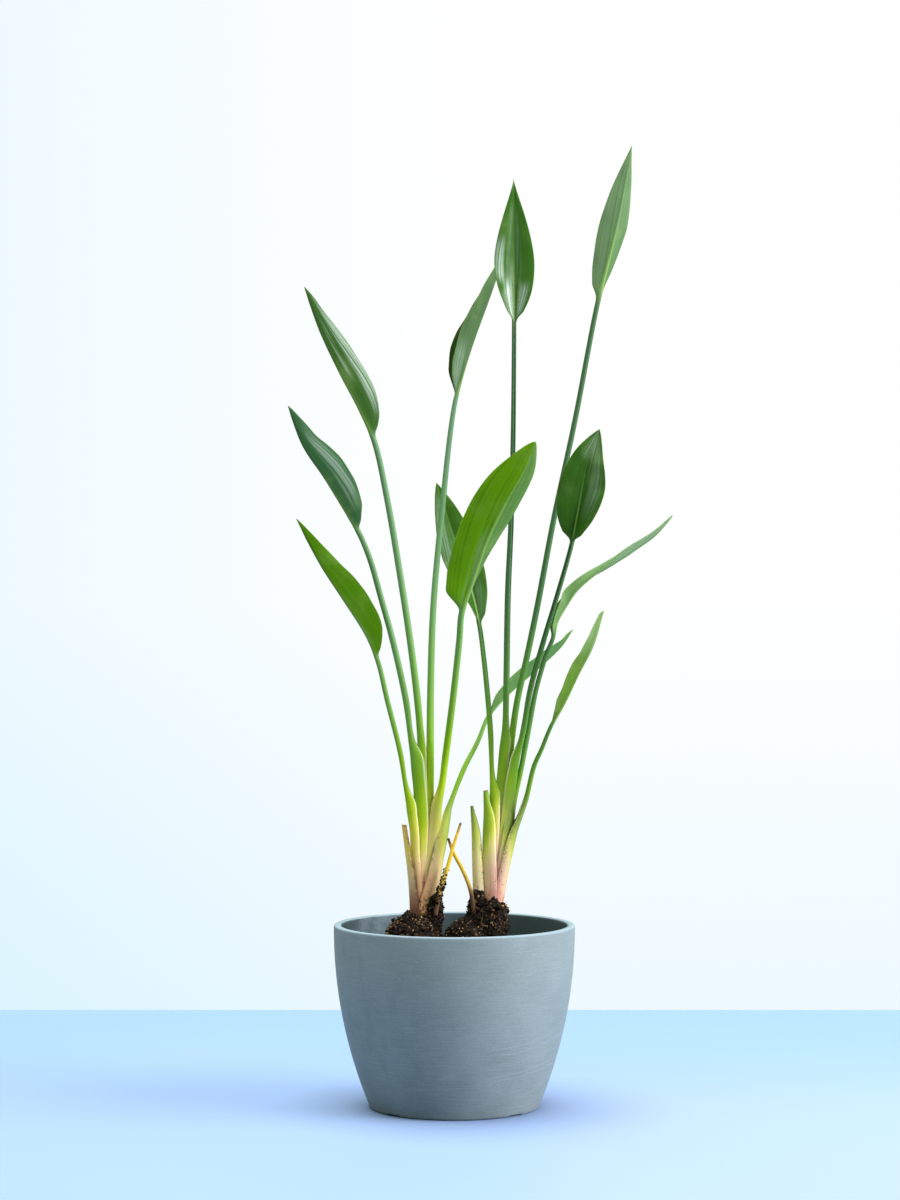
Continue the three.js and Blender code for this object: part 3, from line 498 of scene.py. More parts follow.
def line_through(keys, places):
    """Centripetal Catmull-Rom line through rows of numbers, at places from 0 to 1.

    The first three numbers of a row are its point. The others, such as radii, change with it.
    """
    keys = np.asarray(keys, float)
    first, last = 2 * keys[0] - keys[1], 2 * keys[-1] - keys[-2]
    rows = np.vstack([first, keys, last])
    spans = np.sqrt(np.linalg.norm(np.diff(rows[:, :3], axis=0), axis=1))
    spot = np.clip(places, 0, 1) * (len(keys) - 1)
    i = np.minimum(spot.astype(int), len(keys) - 2)
    t = (spot - i)[:, None]
    p0, p1, p2, p3 = (rows[i + k] for k in range(4))
    d0, d1, d2 = (spans[i + k][:, None] for k in range(3))
    out = ((p1 - p0) / d0 - (p2 - p0) / (d0 + d1) + (p2 - p1) / d1) * d1
    into = ((p2 - p1) / d1 - (p3 - p1) / (d1 + d2) + (p3 - p2) / d2) * d1
    curve = (-3 * p1 + 3 * p2 - 2 * out - into) + (2 * p1 - 2 * p2 + out + into) * t
    return p1 + out * t + curve * t * t


def even_places(keys, low, high, count):
    """Places from key low to key high in steps of equal length, and the length between them."""
    fine = np.linspace(low, high, 241) / (len(keys) - 1)
    points = line_through(keys, fine)[:, :3]
    steps = np.linalg.norm(np.diff(points, axis=0), axis=1)
    reach = np.concatenate([[0], np.cumsum(steps)])
    return np.interp(np.linspace(0, reach[-1], count), reach, fine), reach[-1]


def frames_at(keys, places, facing):
    """Rows on a line, with the side and forward directions at each."""
    near = 1e-4
    after, before = line_through(keys, places + near), line_through(keys, places - near)
    tangent = unit(after[:, :3] - before[:, :3])
    forward = unit(facing - tangent * (facing * tangent).sum(1, keepdims=True))
    return line_through(keys, places), unit(np.cross(forward, tangent)), forward


def tube_section(rows, wrap, filled, wall):
    """Points round the sheath or stalk as [side, forward], the outside first, then the inside."""
    u = EVEN_PLACES[None, :]
    deep, wide, wrap, filled = (x[:, None] for x in (rows[:, 3], rows[:, 4], wrap, filled))
    thin = wall * (1 - THIN_EDGE * np.abs(u) ** 6)
    angle = u * wrap
    outer = np.stack([wide * np.sin(angle), -deep * np.cos(angle)], -1)
    hollow = np.stack([(wide - thin) * np.sin(angle), (thin - deep) * np.cos(angle)], -1)
    lip = -deep * np.cos(wrap)
    groove = np.stack([u * GROOVE_WIDTH * wide * np.sin(wrap),
                       lip - GROOVE_DEPTH * deep * (1 - u * u)], -1)
    inner = hollow + (groove - hollow) * filled[..., None]
    return np.concatenate([outer, inner[:, ::-1]], 1)


def half_section(half, fold, curl):
    """One half of a blade from the midrib out, as reach, side, forward and slope."""
    u = HALF_PLACES[None, :]
    reach = u * half
    slope = (fold - curl * u) * smooth(0, 1, reach / np.minimum(CREASE, CREASE_SHARE * half))
    sums = []
    for way in (np.cos, np.sin):
        steps = 0.5 * (way(slope[:, 1:]) + way(slope[:, :-1])) * np.diff(reach, axis=1)
        sums.append(np.pad(np.cumsum(steps, axis=1), ((0, 0), (1, 0))))
    return reach, *sums, slope


def blade_section(halves, fold, curl, rib, rib_width, thick, wave, ripple):
    """Points round the blade as [side, forward], the back first, then the face."""
    fold, rib, rib_width, thick, wave = (x[:, None] for x in (fold, rib, rib_width, thick, wave))
    u = HALF_PLACES[None, :]
    body = thick / 2 * np.sqrt(1 - BLADE_EDGE * u ** 6)
    rings = []
    for back in (True, False):
        parts = []
        for hand, half, bent in zip((-1, 1), halves, ripple):
            reach, side, forward, slope = half_section(half[:, None], fold, curl)
            keel = rib * np.exp(-((reach / rib_width) ** 2))
            offset = -body - keel if back else body - FACE_RIB * keel
            x = hand * (side - np.sin(slope) * offset)
            y = forward + wave * u * u + bent + np.cos(slope) * offset
            parts.append(np.stack([x, y], -1))
        rings.append(np.concatenate([parts[0][:, :0:-1], parts[1]], 1))
    return np.concatenate([rings[0], rings[1][:, ::-1]], 1)


def outline(t, leaf):
    """Width of the blade: 0 at its foot and tip, 1 where it is widest."""
    power = math.log(0.5) / math.log(leaf["widest"])
    swell = np.maximum(0, np.sin(math.pi * np.clip(t, 0, 1) ** power))
    return swell ** np.where(t < leaf["widest"], leaf["slim"], leaf.get("taper", TAPER))


def side_faces(rings, size):
    """Faces between rings of points."""
    i = np.arange(size)
    nxt = (i + 1) % size
    start = np.arange(rings - 1)[:, None] * size
    quads = np.stack([start + i, start + nxt, start + size + nxt, start + size + i], -1)
    return quads.reshape(-1, 4)


def ring_faces(rings, size):
    """Faces between rings of points, with strips that close the two ends."""
    faces = side_faces(rings, size).tolist()
    last = (rings - 1) * size
    for k in range(size // 2 - 1):
        a, b, c, d = k, k + 1, size - 2 - k, size - 1 - k
        faces.append((a, d, c, b))
        faces.append((last + a, last + b, last + c, last + d))
    return faces


def there_and_back(values):
    """Values across the outside of a ring, then back across its inside."""
    return np.concatenate([values, values[::-1]])


def swept_piece(name, frames, section, attributes, material, slot):
    """A leaf or stub: sections on their frames, joined in a mesh in place of its node."""
    rows, side, forward = frames
    spread = section[..., :1] * side[:, None] + section[..., 1:] * forward[:, None]
    points = rows[:, None, :3] + spread
    rings, size = points.shape[:2]
    layers = {key: np.broadcast_to(values, (rings, size)) for key, values in attributes.items()}
    faces = ring_faces(rings, size)
    piece = new_piece(name + "_fine", points.reshape(-1, 3), faces, material, layers)
    dress(piece, slot, name)


def leaf_keys(leaf):
    """All keys of a leaf, and the numbers of those where its sheath closes and its blade starts."""
    x, y = CROWNS[leaf["crown"]]
    r = NEST_FIRST + NEST_STEP * leaf["nest"]
    sheath = [(x, y, CROWN_Z, r, r), (x, y, CROWN_Z + SHEATH_RISE, r, r), *leaf["sheath"]]
    steps = len(leaf["stalk"])
    stalk = [(*p, *[mix(*leaf["round"], (i + 1) / steps)] * 2)
             for i, p in enumerate(leaf["stalk"])]
    blade = [(*p, leaf["round"][1], leaf["round"][1]) for p in leaf["blade"]]
    return np.array(sheath + stalk + blade), len(sheath) - 1, len(sheath) + steps - 1


def leaf_places(keys, closed, foot):
    """Places of the rings along a leaf, foot to tip, and the length of its blade."""
    places = []
    ends = (0, closed, foot, len(keys) - 1)
    for low, high, count in zip(ends, ends[1:], RINGS):
        part, length = even_places(keys, low, high, count)
        places.append(part[1:] if low else part)
    return np.concatenate(places), length


def leaf_facing(leaf, on_blade, turn):
    """The way that the leaf opens or faces at each place."""
    ways = np.array(leaf["face"], float)
    opened = np.array(leaf["open"], float)
    below = opened + (ways[0] - opened) * turn[:, None]
    above = np.stack([along(ways[:, axis], on_blade) for axis in range(3)], -1)
    return np.where(on_blade[:, None] > 0, above, below)


def ripples(on_blade, seed):
    """Slight unevenness of each half blade, more towards its margin."""
    u = HALF_PLACES[None, :]
    t = on_blade[:, None]
    fading = u * smooth(0, 0.15, t) * smooth(1, 0.9, t)
    rows = []
    for phase in (seed * 1.7, seed * 1.7 + 2.1):
        rows.append(fading * sum(np.sin(t * waves + u * slant + phase * shift) * height
                                 for waves, slant, shift, height in RIPPLES))
    return rows


def leaf_blade(leaf, on_blade, number):
    """Sections of the blade, with its left and right half widths and the width of its rib."""
    edge = outline(on_blade, leaf)
    nest = leaf["nest"]
    waves = sum(np.sin(on_blade * turns + nest * shift) for turns, shift in WAVES) * WAVE
    foot_radius = leaf["round"][1]
    least = mix(*LEAST_HALF, smooth(TIP_START, 1, on_blade))
    half = np.maximum(least, leaf["wide"] * edge)
    halves = half, half * along(leaf.get("skew", (1, 1)), on_blade)
    rib_width = foot_radius * mix(*RIB_WIDTH, np.sqrt(on_blade))
    section = blade_section(
        halves, np.radians(along(leaf["fold"], on_blade)), math.radians(leaf.get("curl", CURL)),
        foot_radius * RIB_FOOT * (1 - np.sqrt(on_blade)) + RIB_TIP, rib_width,
        mix(*BLADE_THICK, on_blade), waves * edge, ripples(on_blade, number))
    return section, halves, rib_width


def build_leaf(name, leaf, number):
    keys, closed, foot = leaf_keys(leaf)
    top = len(keys) - 1
    places, blade_length = leaf_places(keys, closed, foot)
    k = places * top
    on_blade = np.clip((k - foot) / (top - foot), 0, 1)
    frames = frames_at(keys, places, leaf_facing(leaf, on_blade, smooth(closed, foot, k)))

    filled = np.ones_like(k) if leaf["nest"] == 0 else smooth(closed - CLOSING, closed, k)
    wrap = np.radians(mix(leaf["wrap"], STALK_WRAP, filled))
    tube = tube_section(frames[0], wrap, filled, WALL)
    blade, halves, rib_width = leaf_blade(leaf, on_blade, number)
    opened = smooth(0, OPENING, on_blade)[:, None]

    stage = np.where(k < closed, k / closed, 1 + (k - closed) / (foot - closed))
    across = there_and_back(ACROSS)
    width = np.where(across > 0, halves[1][:, None], halves[0][:, None])
    attributes = {
        "stage": np.where(k > foot, 2 + on_blade, stage)[:, None],
        "across": mix(there_and_back(EVEN_PLACES), across, opened),
        "upper": np.repeat([0.0, 1.0], SIDE_POINTS),
        "rib": np.abs(across) * width / rib_width[:, None],
        "margin": (1 - np.abs(across)) * width,
        "length": (on_blade * blade_length)[:, None],
    }
    section = mix(tube, blade, opened[..., None])
    swept_piece(name, frames, section, attributes, leaf_material(name, leaf), "leaf")


# Screen colours of the sheaths and stalks by height in millimetres

STALK_COLOURS = {
    "left": [(160, (236, 180, 134)), (172, (252, 208, 152)), (190, (254, 222, 158)),
             (207, (242, 224, 124)), (226, (222, 222, 70)), (250, (172, 200, 16)),
             (290, (130, 178, 16)), (350, (116, 166, 72)), (430, (110, 158, 98)),
             (560, (100, 142, 106))],
    "right": [(168, (226, 164, 146)), (180, (244, 202, 174)), (198, (250, 224, 162)),
              (216, (238, 231, 112)), (232, (196, 212, 44)), (252, (148, 184, 14)),
              (290, (112, 160, 14)), (340, (84, 136, 48)), (420, (62, 106, 58)),
              (560, (66, 106, 68))],
}
# The same for old sheaths and dry strips, from foot 0 to tip 1
OLD_COLOURS = {
    "old_sheath_left": [(0, (96, 56, 46)), (0.25, (176, 126, 100)), (0.45, (230, 200, 150)),
                        (0.72, (244, 216, 104)), (1, (236, 192, 84))],
    "old_sheath_right": [(0, (150, 118, 90)), (0.2, (238, 218, 184)), (0.5, (242, 228, 160)),
                         (0.72, (204, 210, 84)), (1, (98, 140, 34))],
}
DRY_COLOURS = [(0, (60, 40, 26)), (0.14, (104, 74, 42)), (0.28, (210, 170, 80)),
               (0.5, (240, 204, 44)), (0.86, (240, 194, 20)), (0.95, (120, 80, 30)),
               (1, (54, 36, 22))]
PAINTED_SHADE = (126, 112, 98)
PAPERY = (240, 238, 206)
BROWN = (104, 66, 40)
SOIL_STAIN = (58, 38, 26)
STAIN = (122, 58, 48)
RED_MARGIN = (150, 76, 58)
FLECK = (118, 82, 54)
LIGHT_VEIN = (176, 206, 120)
DARK_VEIN = (20, 70, 4)
RIB_GREEN = (142, 180, 92)
PALE_MARGIN = (170, 190, 110)
BLOOM_AND_SHEEN = (214, 232, 222)
OLD_EDGE = (112, 68, 48)
DRY_LINE = (150, 96, 30)
CUT_FACE = (112, 78, 52)
CUT_RING = (176, 144, 104)
OUTER_NEST = 5
SHINE = 0.12


def stalk_colour(s, crown, across, stage, tone):
    """Cream at the crown's foot, then yellow-green, then blue-green, with fine lines along.

    A sheath is greener along its back and paler towards its margins. Low in the crown it has painted
    shade on the right.
    """
    drift = s.noise(55) * 30 - 15
    streak = s.lines(across * 9, 2) * 36 - 18
    on_sheath = 1 - stage.step(0.85, 1.1)
    paler = (abs(across) - 0.35) * (on_sheath * 44)
    level = s.z + drift + (streak - paler) - s.z.step(192, 236) * tone
    base = s.ramp(level, STALK_COLOURS[crown])
    # Painted shade: low in the crown the right side is darkened towards a dull brown-grey
    painted_shade = (s.x - CROWNS[crown][0]).step(3, 12) * s.z.step(272, 240)
    base = s.tinted(base, (painted_shade * 0.4, PAINTED_SHADE))
    pale = s.mix(0.5, base, (1, 1, 0.9, 1))
    return s.mix(s.lines(across * 34).step(0.5, 0.75) * 0.14, base, pale)


def sheath_marks(s, base, across, stage, outer):
    """Thin pale margins with small brown tips, red-brown stains and specks of soil low down.

    The outer sheath of a crown has brown flecks beside its margins too.
    """
    side = abs(across)
    on_sheath = 1 - stage.step(0.97, 1.02)
    low = 1 - s.z.step(162, 215)
    left = s.x.step(-26, -35)

    paper = side.step(0.86, 0.99) * on_sheath * (stage.step(0.45, 0.95) * 0.55 + 0.2)
    tip = stage.step(0.955, 0.99) * on_sheath * side.step(0.88, 0.98)
    cloud = s.noise(1, 3, 0.6, (90, 90, 32)) + left * 0.1
    cloud = cloud.step(0.5, 0.62) * low * s.math("MAXIMUM", side.step(0.3, 0.9) * 0.35, left)
    margin = side.step(0.92, 0.98) * (low * on_sheath)
    base = s.tinted(base, (paper, PAPERY), (tip * 0.7, BROWN), (cloud * 0.8, STAIN),
                    (margin * 0.8, RED_MARGIN))
    if outer:
        band = side.step(0.6, 0.85) * s.z.step(262, 240) * s.z.step(190, 212)
        fleck = s.noise(340, 4, 0.65).step(0.5, 0.6) * band * on_sheath
        base = s.tinted(base, (fleck * 0.5, FLECK))
    specks = (s.noise(420, 3, 0.6) + low * 0.09).step(0.69, 0.74)
    specks = specks * (1 - s.z.step(205, 240))
    smear = (s.z + s.noise(320, 3, 0.6) * 60).step(200, 190)
    return s.tinted(base, (specks * 0.9, SOIL_STAIN), (smear * 0.8, SOIL_STAIN))


def bloom_and_sheen_share(bands, across, along_blade, streaks):
    """Where pale waxy bloom and painted sheen lie, from bands as (across from, to, along from, to,
    share).
    """
    shares = []
    for left, right, foot, top, share in bands:
        soft, end = (right - left) * 0.35, (top - foot) * 0.3
        beside = across.step(left, left + soft) * across.step(right, right - soft)
        below = along_blade.step(foot, foot + end) * along_blade.step(top, top - end)
        shares.append(beside * below * share)
    return sum(shares) * streaks.step(0.32, 0.62)


def leaf_material(name, leaf):
    """Sheath and stalk, then the blade with its veins, bloom and painted sheen, midrib and pale
    margin.
    """
    s = new_material(name)
    stage, across, upper, rib, margin, length = (
        s.attribute(key) for key in ("stage", "across", "upper", "rib", "margin", "length"))
    stalk = stalk_colour(s, leaf["crown"], across, stage, leaf["tone"])
    stalk = sheath_marks(s, stalk, across, stage, leaf["nest"] == OUTER_NEST)

    back = rgb(*leaf["back"])
    # Painted shade: a darker colour on the back's right half, where the leaf gives one
    if "right" in leaf:
        back = s.tinted(back, (across.step(-0.1, 0.15), leaf["right"]))
    green = s.tinted(back, (upper, leaf["upper"]))
    light = s.tinted(green, (0.3, LIGHT_VEIN))
    dark = s.tinted(green, (0.5, DARK_VEIN))

    # Veins run along the blade, slowly outwards, and finer ones cross to the margin
    side = abs(across)
    drift = length * 0.03
    streaks = s.lines(across * 8 + drift, 2)
    veins = s.lines(across * 26 + drift * 2)
    cross = s.lines(length * 0.7 - side * (leaf["wide"] * 0.9))
    mottle = s.noise(42, 3, 0.55)
    strength = 0.4 * leaf.get("vein", 1)
    green = s.mix(streaks.step(0.45, 0.7) * strength, green, dark)
    green = s.mix(mottle.step(0.45, 0.75) * 0.4, green, light)
    green = s.mix(veins.step(0.5, 0.72) * (strength / 2), green, light)
    green = s.mix(cross.step(0.5, 0.7) * 0.12, green, dark)

    along_blade = stage - 2
    # Pale bands: partly waxy bloom, partly painted sheen, that is reflections painted into the colour
    if "bloom_and_sheen" in leaf:
        share = bloom_and_sheen_share(leaf["bloom_and_sheen"], across, along_blade, streaks)
        green = s.tinted(green, (share, BLOOM_AND_SHEEN))
    on_rib = (1 - rib.step(0.4, 1.1)) * (along_blade.step(0.2, 0.7) * -0.45 + 0.6)
    on_margin = (1 - margin.step(0.1, 0.4)) * 0.35
    green = s.tinted(green, (on_rib, RIB_GREEN), (on_margin, PALE_MARGIN))
    colour = s.mix(stage.step(1.97, 2.1), stalk, green)

    on_blade = stage.step(1.95, 2.1) * side.step(0.9, 0.55)
    normal = s.bump(streaks * on_blade, 0.00006)
    gloss = 0.46 - upper * 0.12 + (mottle - 0.5) * 0.15
    return s.finish(colour, gloss, normal, through=0.14, specular=leaf.get("shine", SHINE))


# Old and dry sheaths


def stub_inputs(name):
    """A new material, with the place along a stub and the place round it."""
    s = new_material(name)
    return s, s.attribute("stage"), s.attribute("across")


def old_sheath_material(name):
    """Cream, with brown flecks, edges and cut end, and soil at its foot."""
    s, stage, across = stub_inputs(name)
    side = abs(across)
    lines = s.lines(across * 14, 2)
    base = s.ramp(stage + (lines * 0.2 - 0.1), OLD_COLOURS[name])
    fleck = s.noise(260, 4, 0.65).step(0.46, 0.58) * side.step(0.5, 0.95)
    cut = stage.step(0.975, 0.995)
    dirt = s.noise(240, 4, 0.65).step(0.58, 0.66) * (1 - stage.step(0.15, 0.5))
    base = s.tinted(base, (fleck * 0.8, BROWN), (side.step(0.8, 0.95) * 0.8, OLD_EDGE),
                    (cut * 0.6, BROWN), (dirt * 0.9, SOIL_STAIN))
    return s.finish(base, 0.6, s.bump(lines, 0.0003), through=0.1)


def dry_material(name):
    """Dried yellow, brown at both ends, with brown lines along."""
    s, stage, across = stub_inputs(name)
    lines = s.lines(across * 9, 2)
    base = s.ramp(stage + (s.noise(160, 3) * 0.3 - 0.15), DRY_COLOURS)
    base = s.tinted(base, (lines.step(0.5, 0.7) * 0.35, DRY_LINE))
    return s.finish(base, 0.62, s.bump(lines, 0.0004), through=0.1)


def cut_leaf_material(name):
    """A green sheath with a brown cut end."""
    s, stage, across = stub_inputs(name)
    base = stalk_colour(s, "right", across, stage, -16)
    base = sheath_marks(s, base, across, stage * 0.8, False)
    base = s.tinted(base, (stage.step(0.965, 0.985), CUT_FACE),
                    (stage.step(0.995, 1) * 0.7, CUT_RING))
    return s.finish(base, 0.45, s.bump(s.lines(across * 40), 0.00015), through=0.1)


STUB_LOOKS = {
    "old_sheath_left": (old_sheath_material, "old_sheath"),
    "old_sheath_right": (old_sheath_material, "old_sheath"),
    "cut_leaf_right": (cut_leaf_material, "leaf"),
    "dry_sheath_left": (dry_material, "dry_sheath"),
    "dry_sheath_right": (dry_material, "dry_sheath"),
}


def build_stub(name, stub):
    keys = np.array(stub["sheath"], float)
    top = len(keys) - 1
    places, _ = even_places(keys, 0, top, STUB_RINGS)
    frames = frames_at(keys, places, np.array([stub["open"]] * STUB_RINGS, float))
    closes = stub.get("closes")
    filled = smooth(closes - CLOSING, closes, places * top) if closes else np.zeros_like(places)
    wrap = np.radians(mix(stub["wrap"], STALK_WRAP, filled))
    wall = min(stub["wall"], frames[0][:, 3].min() * 0.7)
    section = tube_section(frames[0], wrap, filled, wall)
    attributes = {"stage": places[:, None], "across": there_and_back(EVEN_PLACES)}
    material, slot = STUB_LOOKS[name]
    swept_piece(name, frames, section, attributes, material(name), slot)


# Pot, in millimetres

POT_HEIGHT = 151
POT_RIM = 100
POT_TAPER = 30
POT_POWER = 2.1
POT_WALL = 6
POT_FLOOR = 7
POT_FOOT = 3
POT_LIP = 1.2
POT_SIDES = 256
POT_RINGS = dict(outside=60, inside=50)
DRAIN = dict(count=4, hole=4.8, ring=36, width=15, depth=1.6, start=20, cutter=40, sides=48)
POT_DARK = (107, 118, 118)
POT_PALE = (116, 128, 128)
POT_PAINTED_LIGHT = (130, 147, 152)
POT_BRUSHED = (142, 156, 158)
POT_LIGHT_GRAIN = (164, 176, 176)
POT_DARK_GRAIN = (78, 92, 92)
POT_STAIN = (88, 104, 98)
POT_SCRATCH = (156, 170, 174)
POT_PAINTED_SHADE_INSIDE = (52, 74, 82)
POT_LIME = (124, 144, 158)
POT_WORN = (136, 156, 172)


def pot_radius(z):
    return POT_RIM - POT_TAPER * ((POT_HEIGHT - z) / POT_HEIGHT) ** POT_POWER


def corner(x, z, radius, start, turn=90, steps=5):
    """Points of a round corner about x, z. Angles are in degrees, from the +x side."""
    angles = np.radians(np.linspace(start, start + turn, steps))
    return [(x + radius * math.cos(a), z + radius * math.sin(a)) for a in angles]


def pot_profile():
    """From the axis under the base, up the outside, over the rim and down the inside."""
    foot_z, lip = POT_FOOT, POT_LIP
    base = pot_radius(foot_z)
    foot = corner(base - foot_z, foot_z, foot_z, -90, 80)
    outside = [(pot_radius(z), z)
               for z in np.linspace(foot_z, POT_HEIGHT - lip, POT_RINGS["outside"])]
    rim = corner(POT_RIM - lip, POT_HEIGHT - lip, lip, 0)
    inner_rim = POT_RIM - POT_WALL
    rim += corner(inner_rim + lip, POT_HEIGHT - lip, lip, 90)
    inside = [(pot_radius(z) - POT_WALL, z)
              for z in np.linspace(POT_HEIGHT - lip, POT_FLOOR + POT_FOOT, POT_RINGS["inside"])]
    low = pot_radius(POT_FLOOR) - POT_WALL
    bend = corner(low - POT_FOOT, POT_FLOOR + POT_FOOT, POT_FOOT, 0, -90)
    return [(0, 0), *foot, *outside[1:], *rim[1:], *inside[1:], *bend[1:], (0, POT_FLOOR)]


def lathe(profile, sides):
    """Points and faces of a body turned round the Z axis. The profile's ends are on the axis."""
    turns = np.linspace(0, 2 * math.pi, sides, endpoint=False)
    points = [(0, 0, profile[0][1])]
    for r, z in profile[1:-1]:
        points += [(r * math.cos(a), r * math.sin(a), z) for a in turns]
    points.append((0, 0, profile[-1][1]))
    rings = len(profile) - 2
    low, high, end = 1, 1 + (rings - 1) * sides, len(points) - 1
    foot = [(0, low + (i + 1) % sides, low + i) for i in range(sides)]
    top = [(high + i, high + (i + 1) % sides, end) for i in range(sides)]
    return points, [*foot, *(side_faces(rings, sides) + low).tolist(), *top]


def cut_drains(pot):
    """Cuts the channels and drain holes under the pot."""
    cutters = []
    for i in range(DRAIN["count"]):
        turn = math.pi * (0.25 + 2 * i / DRAIN["count"])
        way = Vector((math.cos(turn), math.sin(turn), 0))
        length = POT_RIM - DRAIN["start"]
        middle = way * ((DRAIN["start"] + length / 2) * MM)
        bpy.ops.mesh.primitive_cube_add(size=1, location=middle, rotation=(0, 0, turn))
        bpy.context.object.scale = (length * MM, DRAIN["width"] * MM, DRAIN["depth"] * 2 * MM)
        cutters.append(bpy.context.object)
        bpy.ops.mesh.primitive_cylinder_add(
            vertices=DRAIN["sides"], radius=DRAIN["hole"] * MM, depth=DRAIN["cutter"] * MM,
            location=way * (DRAIN["ring"] * MM))
        cutters.append(bpy.context.object)
    for cutter in cutters:
        made = pot.modifiers.new("drain", "BOOLEAN")
        made.operation = "DIFFERENCE"
        made.object = cutter
    apply_modifiers(pot)
    for cutter in cutters:
        bpy.data.objects.remove(cutter)


def apply_modifiers(piece):
    bpy.context.view_layer.update()
    graph = bpy.context.evaluated_depsgraph_get()
    made = bpy.data.meshes.new_from_object(piece.evaluated_get(graph))
    piece.modifiers.clear()
    old = piece.data
    piece.data = made
    bpy.data.meshes.remove(old)


def pot_material():
    """Matte blue-grey plastic, softly mottled, with fine level lines and a pale worn rim.

    It has painted light, a little lighter towards the rim, and painted shade inside.
    """
    s = new_material("pot_plastic")
    inside = s.attribute("inside")
    brushed = s.noise(1, 3, 0.6, (45, 45, 1600))
    mottle = s.noise(26, 4, 0.55)
    grain = s.noise(1300)
    base = s.tinted(
        rgb(*POT_DARK),
        (mottle.step(0.3, 0.7), POT_PALE),
        # Painted light: paler and bluer towards the rim
        (s.z.step(10, 140) * 0.3, POT_PAINTED_LIGHT),
        (brushed.step(0.42, 0.68) * 0.3, POT_BRUSHED),
        (grain.step(0.55, 0.72) * 0.26, POT_LIGHT_GRAIN),
        (grain.step(0.45, 0.3) * 0.22, POT_DARK_GRAIN))

    # Upright greenish stains on the left, fine wavy scratches low on the right, and lime and painted
    # shade inside
    stain = s.noise(1, 3, 0.5, (70, 70, 22)).step(0.54, 0.7) * s.x.step(40, -60)
    slant = s.x * -0.1 + s.z * 0.5 + s.noise(40, 1) * 3
    scratch = s.lines(slant, 2).step(0.56, 0.74) * (s.x.step(15, 45) * s.z.step(80, 60))
    lime = s.noise(60, 4, 0.6).step(0.36, 0.7) * inside * s.x.step(0, -60)
    worn = s.z.step(149.4, 150.6)
    base = s.tinted(
        base,
        (stain * 0.22, POT_STAIN),
        (scratch * 0.2, POT_SCRATCH),
        # Painted shade: the inside of the pot is darkened
        (inside * 0.85, POT_PAINTED_SHADE_INSIDE),
        (lime * 0.5, POT_LIME),
        (worn * 0.75, POT_WORN))
    return s.finish(base, 0.6, s.bump(brushed + grain * 0.6, 0.00012), specular=0.35)


def build_pot():
    points, faces = lathe(pot_profile(), POT_SIDES)
    radius = np.hypot(*np.array(points)[:, :2].T)
    height = np.array(points)[:, 2]
    middle_of_wall = pot_radius(np.minimum(height, POT_HEIGHT)) - POT_WALL / 2
    inside = (height > POT_FLOOR - 0.5) & (radius < middle_of_wall)
    pot = new_piece("pot_fine", points, faces, pot_material(), {"inside": inside})
    cut_drains(pot)
    pot.data.shade_smooth()
    dress(pot, "pot", "pot")


# Soil and what is in it, in millimetres. A voxel, and a noise layer's size and height, are in
# metres.

SOIL_SEED = 5
SOIL_TOP = 121
SOIL_REACH = 90
SOIL_VOXEL = 0.0018
SOIL_LAYERS = ((0.013, 0.0018), (0.006, 0.0018), (0.0028, 0.0009))
RHIZOME_VOXEL = 0.0009
RHIZOME_LAYERS = ((0.004, 0.0004),)
# Bits lie where the soil's normal points up by more than this, above a height, more on heaps
SOIL_FACING = -0.35
SOIL_LOWEST = SOIL_TOP - 4
HEAP_LOWEST = SOIL_TOP + 5
HEAP_EXTRA = 1.6
CRUMBS = 9000
CRUMB_SPREAD = (0.3, 0.45)
CRUMB_SIZE = (0.6, 4.6)
CRUMB_STRETCH = (0.55, 1.25)
# Crumbs that cling to the dry sheath
STUCK = 260
STUCK_SIZE = (0.8, 2.4)
STUCK_FOOT = (-14, -16.3, 172)
STUCK_TOP = (-6.5, -17.4, 199)
# How far out they sit, low and high, and how much they crowd low down
STUCK_REACH = (2.6, 1.4)
STUCK_CROWDING = 1.5
# Other bits: look, roughness, number, size from and to, stretch from and to, share sunk in
BITS = {
    "pale_grains": ("perlite", 0.8, 130, (0.5, 1.2), (0.7, 1.1), 0.2),
    "bark_chips": ("bark_chips", 0.9, 760, (0.7, 1.9), (0.3, 1.3), 0.25),
}
BIT_SINK = 0.2
BIT_JITTER = (0.72, 1.25)
FIBRES = 110
FIBRE_LENGTH = (5, 17)
FIBRE_RADIUS = (0.12, 0.26)
FIBRE_BEND = (-1.4, 1.4)
# A fibre lies this many radii up, bows up and down by a height, and thins towards its ends
FIBRE_LIFT = 1.2
FIBRE_WAVE = 0.25
FIBRE_WAVES = 5
FIBRE_TAPER = 0.7
FIBRE_STEPS = 7
FIBRE_SIDES = 4
# Colours of the bits by their tone
BIT_COLOURS = {
    "soil_crumbs": [(0, (6, 5, 4)), (0.6, (24, 17, 13)), (0.84, (66, 48, 34)),
                    (1, (140, 108, 74))],
    "perlite": [(0, (190, 180, 160)), (1, (236, 232, 222))],
    "bark_chips": [(0, (84, 56, 32)), (0.5, (150, 110, 60)), (1, (236, 196, 124))],
    "fibres": [(0, (60, 42, 28)), (0.6, (108, 80, 50)), (1, (170, 134, 90))],
}
SOIL_COLOURS = [(0.3, (8, 6, 5)), (0.5, (22, 16, 12)), (0.7, (52, 38, 28))]
SOIL_SPECK = (120, 90, 60)
RHIZOME_COLOURS = [(0.3, (150, 104, 62)), (0.5, (186, 140, 92)), (0.75, (208, 170, 124))]
RHIZOME_RING = (112, 72, 44)


def mesh_arrays(mesh):
    """Points and normals of a mesh."""
    points = np.zeros(len(mesh.vertices) * 3)
    normals = np.zeros(len(mesh.vertices) * 3)
    mesh.vertices.foreach_get("co", points)
    mesh.vertex_normals.foreach_get("vector", normals)
    return points.reshape(-1, 3), normals.reshape(-1, 3)


